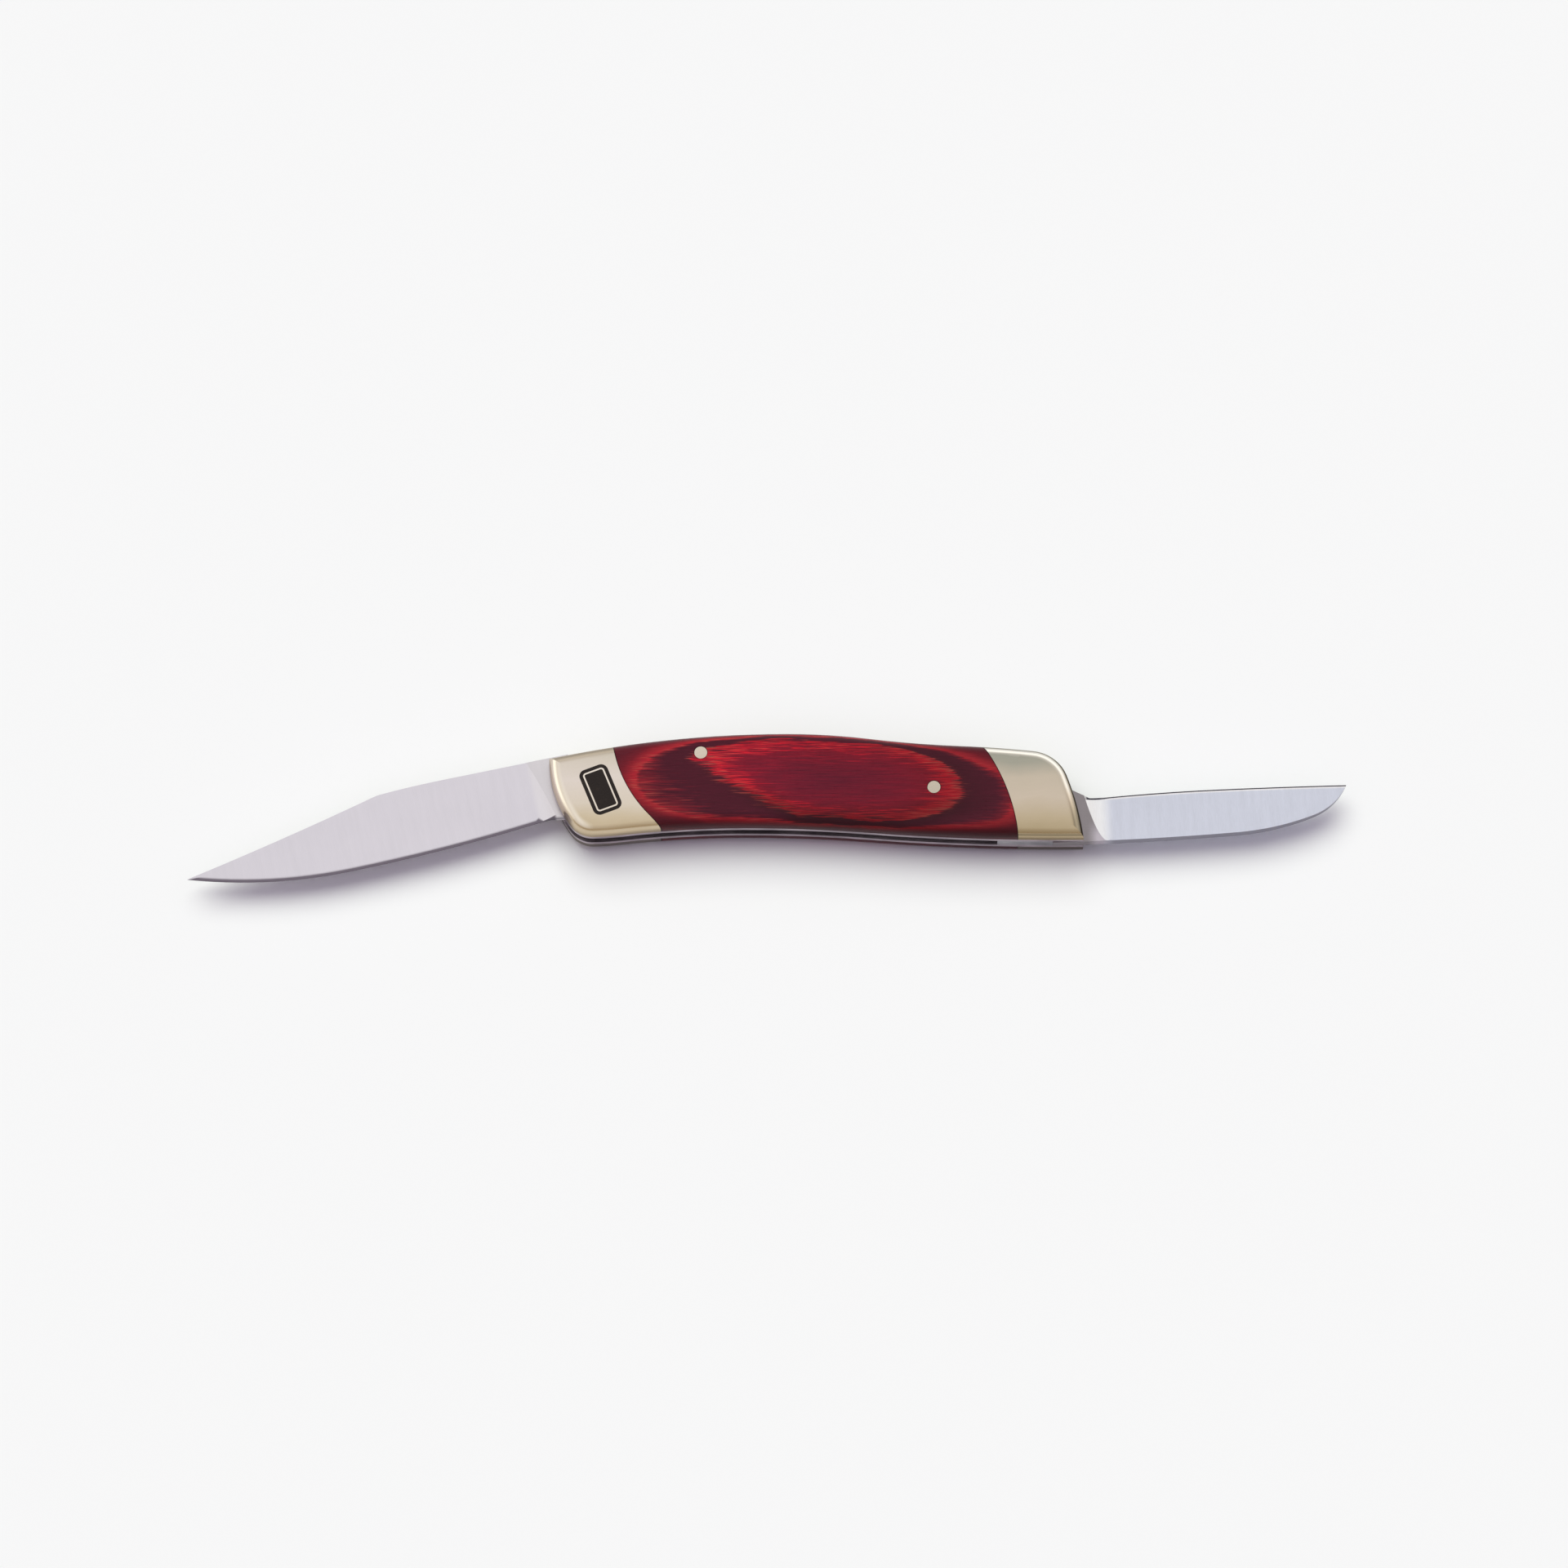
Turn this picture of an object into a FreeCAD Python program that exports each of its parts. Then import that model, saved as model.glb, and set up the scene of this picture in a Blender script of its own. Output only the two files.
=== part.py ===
"""Two-bladed folding pocket knife, lying on its rear face with both blades open.

X runs along the handle (clip blade at -X, pen blade at +X), Y runs across it (back of the clip blade
at +Y) and Z is up through the thickness. The origin is the middle of the rear flat face.
Lengths are millimetres and angles are degrees.
"""
import FreeCAD
import Part
import Sketcher

import math
import os

LINE = "line"
FLOW_ON = "flow_on"      # arc tangent to the span before it
FLOW_BACK = "flow_back"  # arc tangent to the span after it

SIZES = (
    # Handle outline: insets from its two ends, drops below its crest, distances from its middle.
    ("handle_half", 46.06),
    ("clip_corner_drop", 4.65),
    ("crest_along", -5.0),
    ("crest_height", 10.75),
    ("back_wave_along", 9.0),
    ("back_wave_drop", 0.89),
    ("back_dip_along", 25.0),
    ("back_dip_drop", 2.25),
    ("pen_shoulder_inset", 8.56),
    ("pen_shoulder_drop", 3.2),
    ("pen_round_inset", 2.76),
    ("pen_round_drop", 7.75),
    ("pen_corner_depth", 8.45),
    ("belly_wave_along", 9.0),
    ("belly_wave_depth", 7.15),
    ("hollow_along", -12.0),
    ("hollow_depth", 6.3),
    ("clip_belly_inset", 12.36),
    ("clip_belly_depth", 7.6),
    ("clip_toe_inset", 7.66),
    ("clip_toe_depth", 7.93),
    ("clip_round_inset", 3.76),
    ("clip_round_depth", 5.95),
    # Stack through the thickness.
    ("cover_thickness", 3.0),
    ("liner_thickness", 0.75),
    ("slot_width", 1.75),
    ("blade_side_gap", 0.05),
    ("edge_round", 2.2),
    # Curved seams between the bolsters and the wood, from the ends of the handle.
    ("clip_seam_inset", 13.66),
    ("clip_seam_lean_angle", 28.6),
    ("clip_seam_radius", 24.0),
    ("pen_seam_inset", 13.19),
    ("pen_seam_lean_angle", 19.8),
    ("pen_seam_radius", 36.0),
    ("seam_gap", 0.03),
    # Pivots, pins and rivets, from the ends of the handle.
    ("clip_pivot_inset", 6.56),
    ("pen_pivot_inset", 7.26),
    ("pivot_diameter", 2.6),
    ("pivot_running_gap", 0.03),
    ("pivot_cover", 1.1),
    ("fixed_pin_gap", 0.01),
    ("pin_end_chamfer", 0.1),
    ("upper_pin_inset", 26.16),
    ("upper_pin_drop", 4.15),
    ("lower_pin_inset", 25.76),
    ("lower_pin_across", 0.2),
    ("scale_pin_head", 2.4),
    ("scale_pin_shank", 1.7),
    ("scale_pin_head_depth", 0.8),
    ("rivet_diameter", 1.5),
    ("rivet_grip", 1.8),
    ("rivet_inset_along", 2.6),
    ("rivet_inset_across", 5.0),
    # Plaque let into the front bolster of the clip end.
    ("plaque_inset", 8.9),
    ("plaque_across", -0.3),
    ("plaque_lean_angle", 21.5),
    ("plaque_length", 8.8),
    ("plaque_width", 5.1),
    ("plaque_corner", 1.2),
    ("plaque_depth", 0.6),
    ("plaque_gap", 0.02),
    # Tangs, shared by both blades.
    ("tang_flat", 4.6),
    ("tang_radius", 5.15),
    ("tang_shoulder", 1.6),
    ("kick_reach", 1.4),
    # Grind, shared by both blades.
    ("edge_blunt", 0.04),
    ("edge_stock", 0.3),
    ("edge_bevel", 0.45),
    ("plunge_wheel_radius", 7.0),
    ("plunge_dip", 0.015),
    # Clip blade: along from its pivot or back from its tip, across towards the edge.
    # Folded, its tip stops a clear length short of the other pivot.
    ("clip_open_angle", 192.5),
    ("clip_swing_angle", 162.5),
    ("clip_spine", 8.35),
    ("clip_fall_back", 46.4),
    ("clip_break_back", 35.06),
    ("clip_break_drop", 0.38),
    ("clip_break_blend", 6.0),
    ("clip_sweep_radius", 600.0),
    ("clip_tip_clear", 7.84),
    ("clip_tip_across", -0.05),
    ("clip_edge_back", 27.76),
    ("clip_edge_across", 4.55),
    ("clip_heel_along", 6.9),
    ("clip_heel_across", 2.55),
    ("clip_choil_radius", 14.0),
    ("clip_plunge_along", 9.0),
    ("clip_grind_margin", 0.15),
    # Pen blade, in the same way.
    ("pen_open_angle", 2.74),
    ("pen_swing_angle", 170.3),
    ("pen_spine", 8.75),
    ("pen_spine_along", 12.5),
    ("pen_drop_back", 19.3),
    ("pen_drop_across", 8.3),
    ("pen_nose_back", 5.9),
    ("pen_nose_across", 5.6),
    ("pen_tip_clear", 25.5),
    ("pen_tip_across", -0.15),
    ("pen_edge_back", 21.8),
    ("pen_edge_across", 0.08),
    ("pen_heel_along", 8.3),
    ("pen_heel_across", -0.65),
    ("pen_choil_radius", 25.0),
    ("pen_plunge_along", 10.6),
    ("pen_grind_margin", 0.6),
    # Back spring.
    ("spring_seat_gap", 0.02),
    ("spring_tang_gap", 0.7),
    ("spring_edge_gap", 0.5),
    ("clip_front_height", 3.9),
    ("pen_front_height", 2.6),
)

doc = FreeCAD.newDocument("pocket_knife")
sheet = doc.addObject("Spreadsheet::Sheet", "dim")
for row, (alias, number) in enumerate(SIZES, start=1):
    sheet.set("A%d" % row, alias)
    sheet.set("B%d" % row, str(number))
    sheet.setAlias("B%d" % row, alias)
doc.recompute()

# Heights through the stack, measured up from the rear face.
REAR_LINER_BASE = "dim.cover_thickness"
SLOT_BASE = "dim.cover_thickness + dim.liner_thickness"
SLOT_MIDDLE = "dim.cover_thickness + dim.liner_thickness + dim.slot_width / 2"
FRONT_LINER_BASE = "dim.cover_thickness + dim.liner_thickness + dim.slot_width"
FRONT_COVER_BASE = "dim.cover_thickness + 2 * dim.liner_thickness + dim.slot_width"
WHOLE_THICKNESS = "2 * dim.cover_thickness + 2 * dim.liner_thickness + dim.slot_width"
BLADE_THICKNESS = "(dim.slot_width - 2 * dim.blade_side_gap)"

CLIP_PIVOT = ("dim.clip_pivot_inset - dim.handle_half", "0")
PEN_PIVOT = ("dim.handle_half - dim.pen_pivot_inset", "0")
PIVOT_SPAN = "2 * dim.handle_half - dim.clip_pivot_inset - dim.pen_pivot_inset"
UPPER_PIN = ("dim.upper_pin_inset - dim.handle_half", "dim.crest_height - dim.upper_pin_drop")
LOWER_PIN = ("dim.handle_half - dim.lower_pin_inset", "dim.lower_pin_across")
PIVOT_BORE = "dim.pivot_diameter / 2 + dim.pivot_running_gap"
PIVOT_SEAT = "dim.pivot_diameter / 2 + dim.fixed_pin_gap"
SHANK_SEAT = "dim.scale_pin_shank / 2 + dim.fixed_pin_gap"
HEAD_SEAT = "dim.scale_pin_head / 2 + dim.fixed_pin_gap"
RIVET_SEAT = "dim.rivet_diameter / 2 + dim.fixed_pin_gap"


def number(expression):
    """Value of a sheet expression, as a plain float."""
    value = sheet.evalExpression(expression)
    return float(getattr(value, "Value", value))


def turned(pivot, angle, corner):
    """Corner given from a pivot and turned by an angle, as handle coordinates."""
    along, across = corner
    return (
        "%s + (%s) * cos(%s) - (%s) * sin(%s)" % (pivot[0], along, angle, across, angle),
        "%s + (%s) * sin(%s) + (%s) * cos(%s)" % (pivot[1], along, angle, across, angle),
    )


def level_radius(level, other):
    """Radius of an arc that runs along X at its first corner and ends at the second."""
    along = "((%s) - (%s))" % (other[0], level[0])
    across = "((%s) - (%s))" % (other[1], level[1])
    return "(%s^2 + %s^2) / (2 * abs(%s))" % (along, across, across)


def cross(first, second):
    """Z of the cross product of two flat vectors."""
    return first.x * second.y - first.y * second.x


class Outline:
    """Closed sketch whose corners and radii are bound to the size sheet."""

    def __init__(self, body, name, plane="XY_Plane"):
        self.sketch = body.newObject("Sketcher::SketchObject", name)
        support = [part for part in body.Origin.OriginFeatures if part.Role == plane][0]
        self.sketch.AttachmentSupport = [(support, "")]
        self.sketch.MapMode = "FlatFace"

    def bind(self, kind, *parts):
        """Add a dimension and tie it to an expression, the last of the parts."""
        expression = parts[-1]
        value = number(expression)
        index = self.sketch.addConstraint(Sketcher.Constraint(kind, *parts[:-1], value))
        self.sketch.setExpression("Constraints[%d]" % index, expression)

    def pin_point(self, geometry, point, corner):
        """Hold one point of a curve at sheet coordinates."""
        self.bind("DistanceX", -1, 1, geometry, point, corner[0])
        self.bind("DistanceY", -1, 1, geometry, point, corner[1])

    def ring(self, centre, radius):
        """Add a full circle."""
        middle = FreeCAD.Vector(number(centre[0]), number(centre[1]), 0)
        circle = Part.Circle(middle, FreeCAD.Vector(0, 0, 1), number(radius))
        geometry = self.sketch.addGeometry(circle, False)
        self.pin_point(geometry, 3, centre)
        self.bind("Radius", geometry, radius)

    def axis(self, start, end):
        """Add a construction line that a groove or revolution turns about."""
        ends = [FreeCAD.Vector(number(x), number(y), 0) for x, y in (start, end)]
        geometry = self.sketch.addGeometry(Part.LineSegment(*ends), True)
        self.pin_point(geometry, 1, start)
        self.pin_point(geometry, 2, end)

    def loop(self, corners, spans):
        """Add a closed run of spans; span i goes from corner i to the next corner.

        A span is LINE, FLOW_ON, FLOW_BACK, or a pair (radius, turn) where turn is 1 for an arc
        that bends left as the loop runs and -1 for one that bends right.
        """
        points = [FreeCAD.Vector(number(x), number(y), 0) for x, y in corners]
        count = len(points)
        centres = self._centres(points, spans)
        placed = []
        for index, centre in enumerate(centres):
            start, end = points[index], points[(index + 1) % count]
            placed.append(self._add_span(start, end, centre))
        for index in range(count):
            following = (index + 1) % count
            here, there = placed[index], placed[following]
            smooth = spans[index] == FLOW_BACK or spans[following] == FLOW_ON
            kind = "Tangent" if smooth else "Coincident"
            self.sketch.addConstraint(Sketcher.Constraint(kind, here[0], here[2], there[0], there[1]))
            self.pin_point(there[0], there[1], corners[following])
            if isinstance(spans[index], tuple):
                self.bind("Radius", here[0], spans[index][0])

    def _add_span(self, start, end, centre):
        """Add one line or arc; returns its index and the points at its two ends."""
        if centre is None:
            return self.sketch.addGeometry(Part.LineSegment(start, end), False), 1, 2
        radius = (start - centre).Length
        circle = Part.Circle(centre, FreeCAD.Vector(0, 0, 1), radius)
        forward = cross(start - centre, end - centre) > 0
        first, last = (start, end) if forward else (end, start)
        angles = [math.atan2(p.y - centre.y, p.x - centre.x) for p in (first, last)]
        geometry = self.sketch.addGeometry(Part.ArcOfCircle(circle, angles[0], angles[1]), False)
        return (geometry, 1, 2) if forward else (geometry, 2, 1)

    def _centres(self, points, spans):
        """Centre of each arc, or None for a line."""
        count = len(points)
        centres = [None] * count
        known = [span == LINE for span in spans]
        for index, span in enumerate(spans):
            if isinstance(span, tuple):
                start, end = points[index], points[(index + 1) % count]
                centres[index] = self._centre_from_radius(start, end, number(span[0]), span[1])
                known[index] = True
        while not all(known):
            for index, span in enumerate(spans):
                neighbour = (index - 1 if span == FLOW_ON else index + 1) % count
                if known[index] or not known[neighbour]:
                    continue
                start, end = points[index], points[(index + 1) % count]
                near = (points[neighbour], points[(neighbour + 1) % count], centres[neighbour])
                touch = start if span == FLOW_ON else end
                heading = self._heading(near, touch)
                far = end if span == FLOW_ON else start
                centres[index] = self._centre_from_heading(touch, heading, far)
                known[index] = True
        return centres

    @staticmethod
    def _centre_from_radius(start, end, radius, turn):
        """Centre of the short arc of a given radius that bends left or right."""
        chord = end - start
        reach = math.sqrt(max(radius ** 2 - (chord.Length / 2) ** 2, 0))
        left = FreeCAD.Vector(-chord.y, chord.x, 0).normalize()
        return (start + end) * 0.5 + left * (turn * reach)

    @staticmethod
    def _heading(span, corner):
        """Direction of travel of a placed span at one of its corners."""
        start, end, centre = span
        if centre is None:
            return (end - start).normalize()
        arm = (corner - centre).normalize()
        turn = 1 if cross(start - centre, end - centre) > 0 else -1
        return FreeCAD.Vector(-arm.y, arm.x, 0) * turn

    @staticmethod
    def _centre_from_heading(touch, heading, far):
        """Centre of the arc that leaves a corner along a heading and meets a far corner."""
        chord = far - touch
        left = FreeCAD.Vector(-heading.y, heading.x, 0)
        return touch + left * (chord.Length ** 2 / (2 * chord.dot(left)))


def new_body(label, height="0", pivot=("0", "0"), angle=None):
    """Empty body placed at a height, a pivot and an angle."""
    body = doc.addObject("PartDesign::Body", label)
    body.Label = label
    body.Placement.Rotation = FreeCAD.Rotation(FreeCAD.Vector(0, 0, 1), number(angle or "0"))
    body.setExpression("Placement.Base.x", pivot[0])
    body.setExpression("Placement.Base.y", pivot[1])
    body.setExpression("Placement.Base.z", height)
    if angle is not None:
        body.setExpression("Placement.Rotation.Angle", "%s * 1 deg" % angle)
    return body


def add_pad(body, outline, length, sense=1, both=False):
    """Raise a sketch into a solid, up for sense 1 and down for sense -1."""
    pad = body.newObject("PartDesign::Pad", "%s_pad" % body.Name)
    pad.Profile = outline.sketch
    pad.setExpression("Length", length)
    pad.Reversed = sense < 0
    pad.SideType = "Symmetric" if both else "One side"
    outline.sketch.Visibility = False
    doc.recompute()
    return pad


def add_pocket(body, outline, length=None, sense=1, both=False):
    """Sink a sketch into the solid, up for sense 1 and down for sense -1; no length cuts it all."""
    before = body.Shape.Volume
    pocket = body.newObject("PartDesign::Pocket", "%s_pocket" % body.Name)
    pocket.Profile = outline.sketch
    pocket.Reversed = sense > 0
    pocket.SideType = "Symmetric" if both else "One side"
    if length is None:
        pocket.Type = "ThroughAll"
    else:
        pocket.setExpression("Length", length)
    doc.recompute()
    if body.Shape.Volume >= before:
        raise RuntimeError("%s: a pocket removed nothing" % body.Label)
    return pocket


def add_fillet(body, feature, radius, wanted):
    """Round the edges of a feature that pass a test."""
    names = ["Edge%d" % (i + 1) for i, edge in enumerate(feature.Shape.Edges) if wanted(edge)]
    if not names:
        raise RuntimeError("%s: no edge to round" % body.Label)
    fillet = body.newObject("PartDesign::Fillet", "%s_fillet" % body.Name)
    fillet.Base = (feature, names)
    fillet.setExpression("Radius", radius)
    doc.recompute()
    return fillet


def drill(body, centres, radius, length=None, sense=1, both=False):
    """Cut round holes from the body's base plane."""
    outline = Outline(body, "%s_holes" % body.Name)
    for centre in centres:
        outline.ring(centre, radius)
    return add_pocket(body, outline, length, sense, both)


HANDLE_CORNERS = (
    ("-dim.handle_half", "dim.crest_height - dim.clip_corner_drop"),
    ("dim.crest_along", "dim.crest_height"),
    ("dim.back_wave_along", "dim.crest_height - dim.back_wave_drop"),
    ("dim.back_dip_along", "dim.crest_height - dim.back_dip_drop"),
    ("dim.handle_half - dim.pen_shoulder_inset", "dim.crest_height - dim.pen_shoulder_drop"),
    ("dim.handle_half - dim.pen_round_inset", "dim.crest_height - dim.pen_round_drop"),
    ("dim.handle_half", "-dim.pen_corner_depth"),
    ("dim.belly_wave_along", "-dim.belly_wave_depth"),
    ("dim.hollow_along", "-dim.hollow_depth"),
    ("dim.clip_belly_inset - dim.handle_half", "-dim.clip_belly_depth"),
    ("dim.clip_toe_inset - dim.handle_half", "-dim.clip_toe_depth"),
    ("dim.clip_round_inset - dim.handle_half", "-dim.clip_round_depth"),
)
HANDLE_SPANS = (
    (level_radius(HANDLE_CORNERS[1], HANDLE_CORNERS[0]), -1),
    (level_radius(HANDLE_CORNERS[1], HANDLE_CORNERS[2]), -1),
    FLOW_ON,
    FLOW_ON,
    FLOW_ON,
    FLOW_ON,
    FLOW_BACK,
    (level_radius(HANDLE_CORNERS[8], HANDLE_CORNERS[7]), 1),
    (level_radius(HANDLE_CORNERS[8], HANDLE_CORNERS[9]), 1),
    FLOW_ON,
    FLOW_ON,
    FLOW_ON,
)
# Reach of cutting sketches beyond the handle, from its own length.
BEYOND = "dim.handle_half * 1.5"
ABOVE = "dim.crest_height * 1.4"


def handle_outline(body, name="outline"):
    """Sketch of the handle's full outline."""
    outline = Outline(body, "%s_%s" % (body.Name, name))
    outline.loop(HANDLE_CORNERS, HANDLE_SPANS)
    return outline


class Seam:
    """Curved seam between the wood and one end's bolsters; the wood bulges into the bolster."""

    def __init__(self, end, side):
        self.side = side
        reach = "dim.%s_seam_radius * cos(dim.%s_seam_lean_angle)" % (end, end)
        rise = "dim.%s_seam_radius * sin(dim.%s_seam_lean_angle)" % (end, end)
        if side < 0:
            self.centre = ("dim.%s_seam_inset - dim.handle_half + %s" % (end, reach), rise)
        else:
            self.centre = ("dim.handle_half - dim.%s_seam_inset - %s" % (end, reach), "-" + rise)
        self.radius = "dim.%s_seam_radius" % end

    def at(self, angle, radius):
        """Point of the seam circle at an angle."""
        return (
            "%s + (%s) * cos(%s)" % (self.centre[0], radius, angle),
            "%s + (%s) * sin(%s)" % (self.centre[1], radius, angle),
        )

    def trim(self, body, keep_wood, sense):
        """Cut the body back to the wood's side of the seam, or to the bolster's."""
        end = "clip" if self.side < 0 else "pen"
        base = "(%d + dim.%s_seam_lean_angle) * 1 deg" % (180 if self.side < 0 else 0, end)
        sweep = "asin(%s / (%s))" % (ABOVE, self.radius)
        radius = "%s - dim.seam_gap" % self.radius if keep_wood else self.radius
        first = self.at("(%s - %s)" % (base, sweep), radius)
        last = self.at("(%s + %s)" % (base, sweep), radius)
        outward = self.side if keep_wood else -self.side
        far = "%s(%s)" % ("-" if outward < 0 else "", BEYOND)
        outline = Outline(body, "%s_seam_%s" % (body.Name, end))
        corners = (first, last, (far, last[1]), (far, first[1]))
        outline.loop(corners, ((radius, 1), LINE, LINE, LINE))
        return add_pocket(body, outline, sense=sense)

    def owns(self, edge):
        """Whether an edge lies on the seam circle."""
        middle = FreeCAD.Vector(number(self.centre[0]), number(self.centre[1]), 0)
        radius = number(self.radius)
        for parameter in (edge.FirstParameter, edge.LastParameter):
            point = edge.valueAt(parameter)
            if abs(math.hypot(point.x - middle.x, point.y - middle.y) - radius) > 0.1:
                return False
        return edge.Length > number("dim.edge_round") * 3


CLIP_SEAM = Seam("clip", -1)
PEN_SEAM = Seam("pen", 1)


def round_rim(body, feature, sense):
    """Round the outer rim of a scale or bolster, leaving its seams square."""
    level = sense * number("dim.cover_thickness")

    def on_rim(edge):
        flat = all(abs(vertex.Z - level) < 1e-6 for vertex in edge.Vertexes)
        return flat and not CLIP_SEAM.owns(edge) and not PEN_SEAM.owns(edge)

    return add_fillet(body, feature, "dim.edge_round", on_rim)


def rivet_centres(end):
    """Where the two rivets of one end's bolsters go."""
    if end == "clip":
        along = "%s + dim.rivet_inset_along" % CLIP_PIVOT[0]
    else:
        along = "%s - dim.rivet_inset_along" % PEN_PIVOT[0]
    return [(along, "dim.rivet_inset_across"), (along, "-dim.rivet_inset_across")]


ALL_RIVETS = rivet_centres("clip") + rivet_centres("pen")


def make_liner(label, height):
    """Flat liner with its pin, pivot and rivet holes."""
    body = new_body(label, height)
    add_pad(body, handle_outline(body), "dim.liner_thickness")
    drill(body, [CLIP_PIVOT, PEN_PIVOT], PIVOT_SEAT)
    drill(body, [UPPER_PIN, LOWER_PIN], SHANK_SEAT)
    drill(body, ALL_RIVETS, RIVET_SEAT)
    return body


def make_scale(label, height, sense):
    """Wood scale between the two seams, with rounded rims and countersunk pin holes."""
    body = new_body(label, height)
    add_pad(body, handle_outline(body), "dim.cover_thickness", sense)
    CLIP_SEAM.trim(body, True, sense)
    trimmed = PEN_SEAM.trim(body, True, sense)
    round_rim(body, trimmed, sense)
    drill(body, [UPPER_PIN, LOWER_PIN], SHANK_SEAT, sense=sense)
    heads = Outline(body, "%s_heads" % label)
    level = "dim.cover_thickness - dim.scale_pin_head_depth"
    heads.sketch.setExpression("AttachmentOffset.Base.z", "%d * (%s)" % (sense, level))
    for centre in (UPPER_PIN, LOWER_PIN):
        heads.ring(centre, HEAD_SEAT)
    add_pocket(body, heads, "dim.cover_thickness", sense)
    return body


PLAQUE_CENTRE = ("dim.plaque_inset - dim.handle_half", "dim.plaque_across")
PLAQUE_ANGLE = "(dim.plaque_lean_angle - 90)"


def plaque_loop(outline, gap="0"):
    """Oblong of the plaque with rounded corners, grown by a gap, added to a sketch."""
    end = "(dim.plaque_length / 2 + %s)" % gap
    edge = "(dim.plaque_width / 2 + %s)" % gap
    end_run = "(dim.plaque_length / 2 - dim.plaque_corner)"
    edge_run = "(dim.plaque_width / 2 - dim.plaque_corner)"
    places = (
        (end, "-" + edge_run),
        (end, edge_run),
        (end_run, edge),
        ("-" + end_run, edge),
        ("-" + end, edge_run),
        ("-" + end, "-" + edge_run),
        ("-" + end_run, "-" + edge),
        (end_run, "-" + edge),
    )
    corners = [turned(PLAQUE_CENTRE, PLAQUE_ANGLE, place) for place in places]
    outline.loop(corners, (LINE, ("dim.plaque_corner + %s" % gap, 1)) * 4)


def make_bolster(label, height, sense, end, seam, through):
    """Bolster with a rounded rim, its pivot hole and the blind holes of its rivets."""
    body = new_body(label, height)
    add_pad(body, handle_outline(body), "dim.cover_thickness", sense)
    trimmed = seam.trim(body, False, sense)
    round_rim(body, trimmed, sense)
    pivot = CLIP_PIVOT if end == "clip" else PEN_PIVOT
    depth = None if through else "dim.cover_thickness - dim.pivot_cover + dim.fixed_pin_gap"
    drill(body, [pivot], PIVOT_SEAT, depth, sense)
    drill(body, rivet_centres(end), RIVET_SEAT, "dim.rivet_grip + dim.fixed_pin_gap", sense)
    return body


def sink_plaque(body):
    """Cut the plaque's recess into the outer face of a front bolster."""
    outline = Outline(body, "%s_recess" % body.Name)
    outline.sketch.setExpression("AttachmentOffset.Base.z", "dim.cover_thickness")
    plaque_loop(outline, "dim.plaque_gap")
    add_pocket(body, outline, "dim.plaque_depth", sense=-1)


def make_plaque(label):
    """Plain plaque with rounded corners, flush with the bolster."""
    body = new_body(label, "%s - dim.plaque_depth" % WHOLE_THICKNESS)
    outline = Outline(body, "%s_outline" % label)
    plaque_loop(outline)
    add_pad(body, outline, "dim.plaque_depth")
    return body


def make_pin(label, pivot, length, head, shank, head_depth):
    """Round pin with a chamfered head at each end, turned about its own axis."""
    body = new_body(label, "0", pivot)
    outline = Outline(body, "%s_profile" % label, "XZ_Plane")
    chamfer = "dim.pin_end_chamfer"
    corners = (
        ("0", "0"),
        ("(%s) / 2 - %s" % (head, chamfer), "0"),
        ("(%s) / 2" % head, chamfer),
        ("(%s) / 2" % head, head_depth),
        ("(%s) / 2" % shank, head_depth),
        ("(%s) / 2" % shank, "%s - (%s)" % (length, head_depth)),
        ("(%s) / 2" % head, "%s - (%s)" % (length, head_depth)),
        ("(%s) / 2" % head, "%s - %s" % (length, chamfer)),
        ("(%s) / 2 - %s" % (head, chamfer), length),
        ("0", length),
    )
    if head == shank:
        corners = corners[:3] + corners[7:]
    outline.loop(corners, (LINE,) * len(corners))
    turn = body.newObject("PartDesign::Revolution", "%s_turn" % label)
    turn.Profile = outline.sketch
    turn.ReferenceAxis = (outline.sketch, ["V_Axis"])
    turn.Angle = 360
    doc.recompute()
    return body


def make_rivets(label, height, end):
    """Two plain rivets that tie one bolster to its liner."""
    rivets = []
    for index, centre in enumerate(rivet_centres(end)):
        rivet = doc.addObject("Part::Cylinder", "%s_%d" % (label, index))
        rivet.setExpression("Radius", "dim.rivet_diameter / 2")
        rivet.setExpression("Height", "dim.liner_thickness + dim.rivet_grip")
        rivet.setExpression("Placement.Base.x", centre[0])
        rivet.setExpression("Placement.Base.y", centre[1])
        rivet.setExpression("Placement.Base.z", height)
        rivets.append(rivet)
    group = doc.addObject("Part::Compound", label)
    group.Label = label
    group.Links = rivets
    doc.recompute()
    return group


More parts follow.
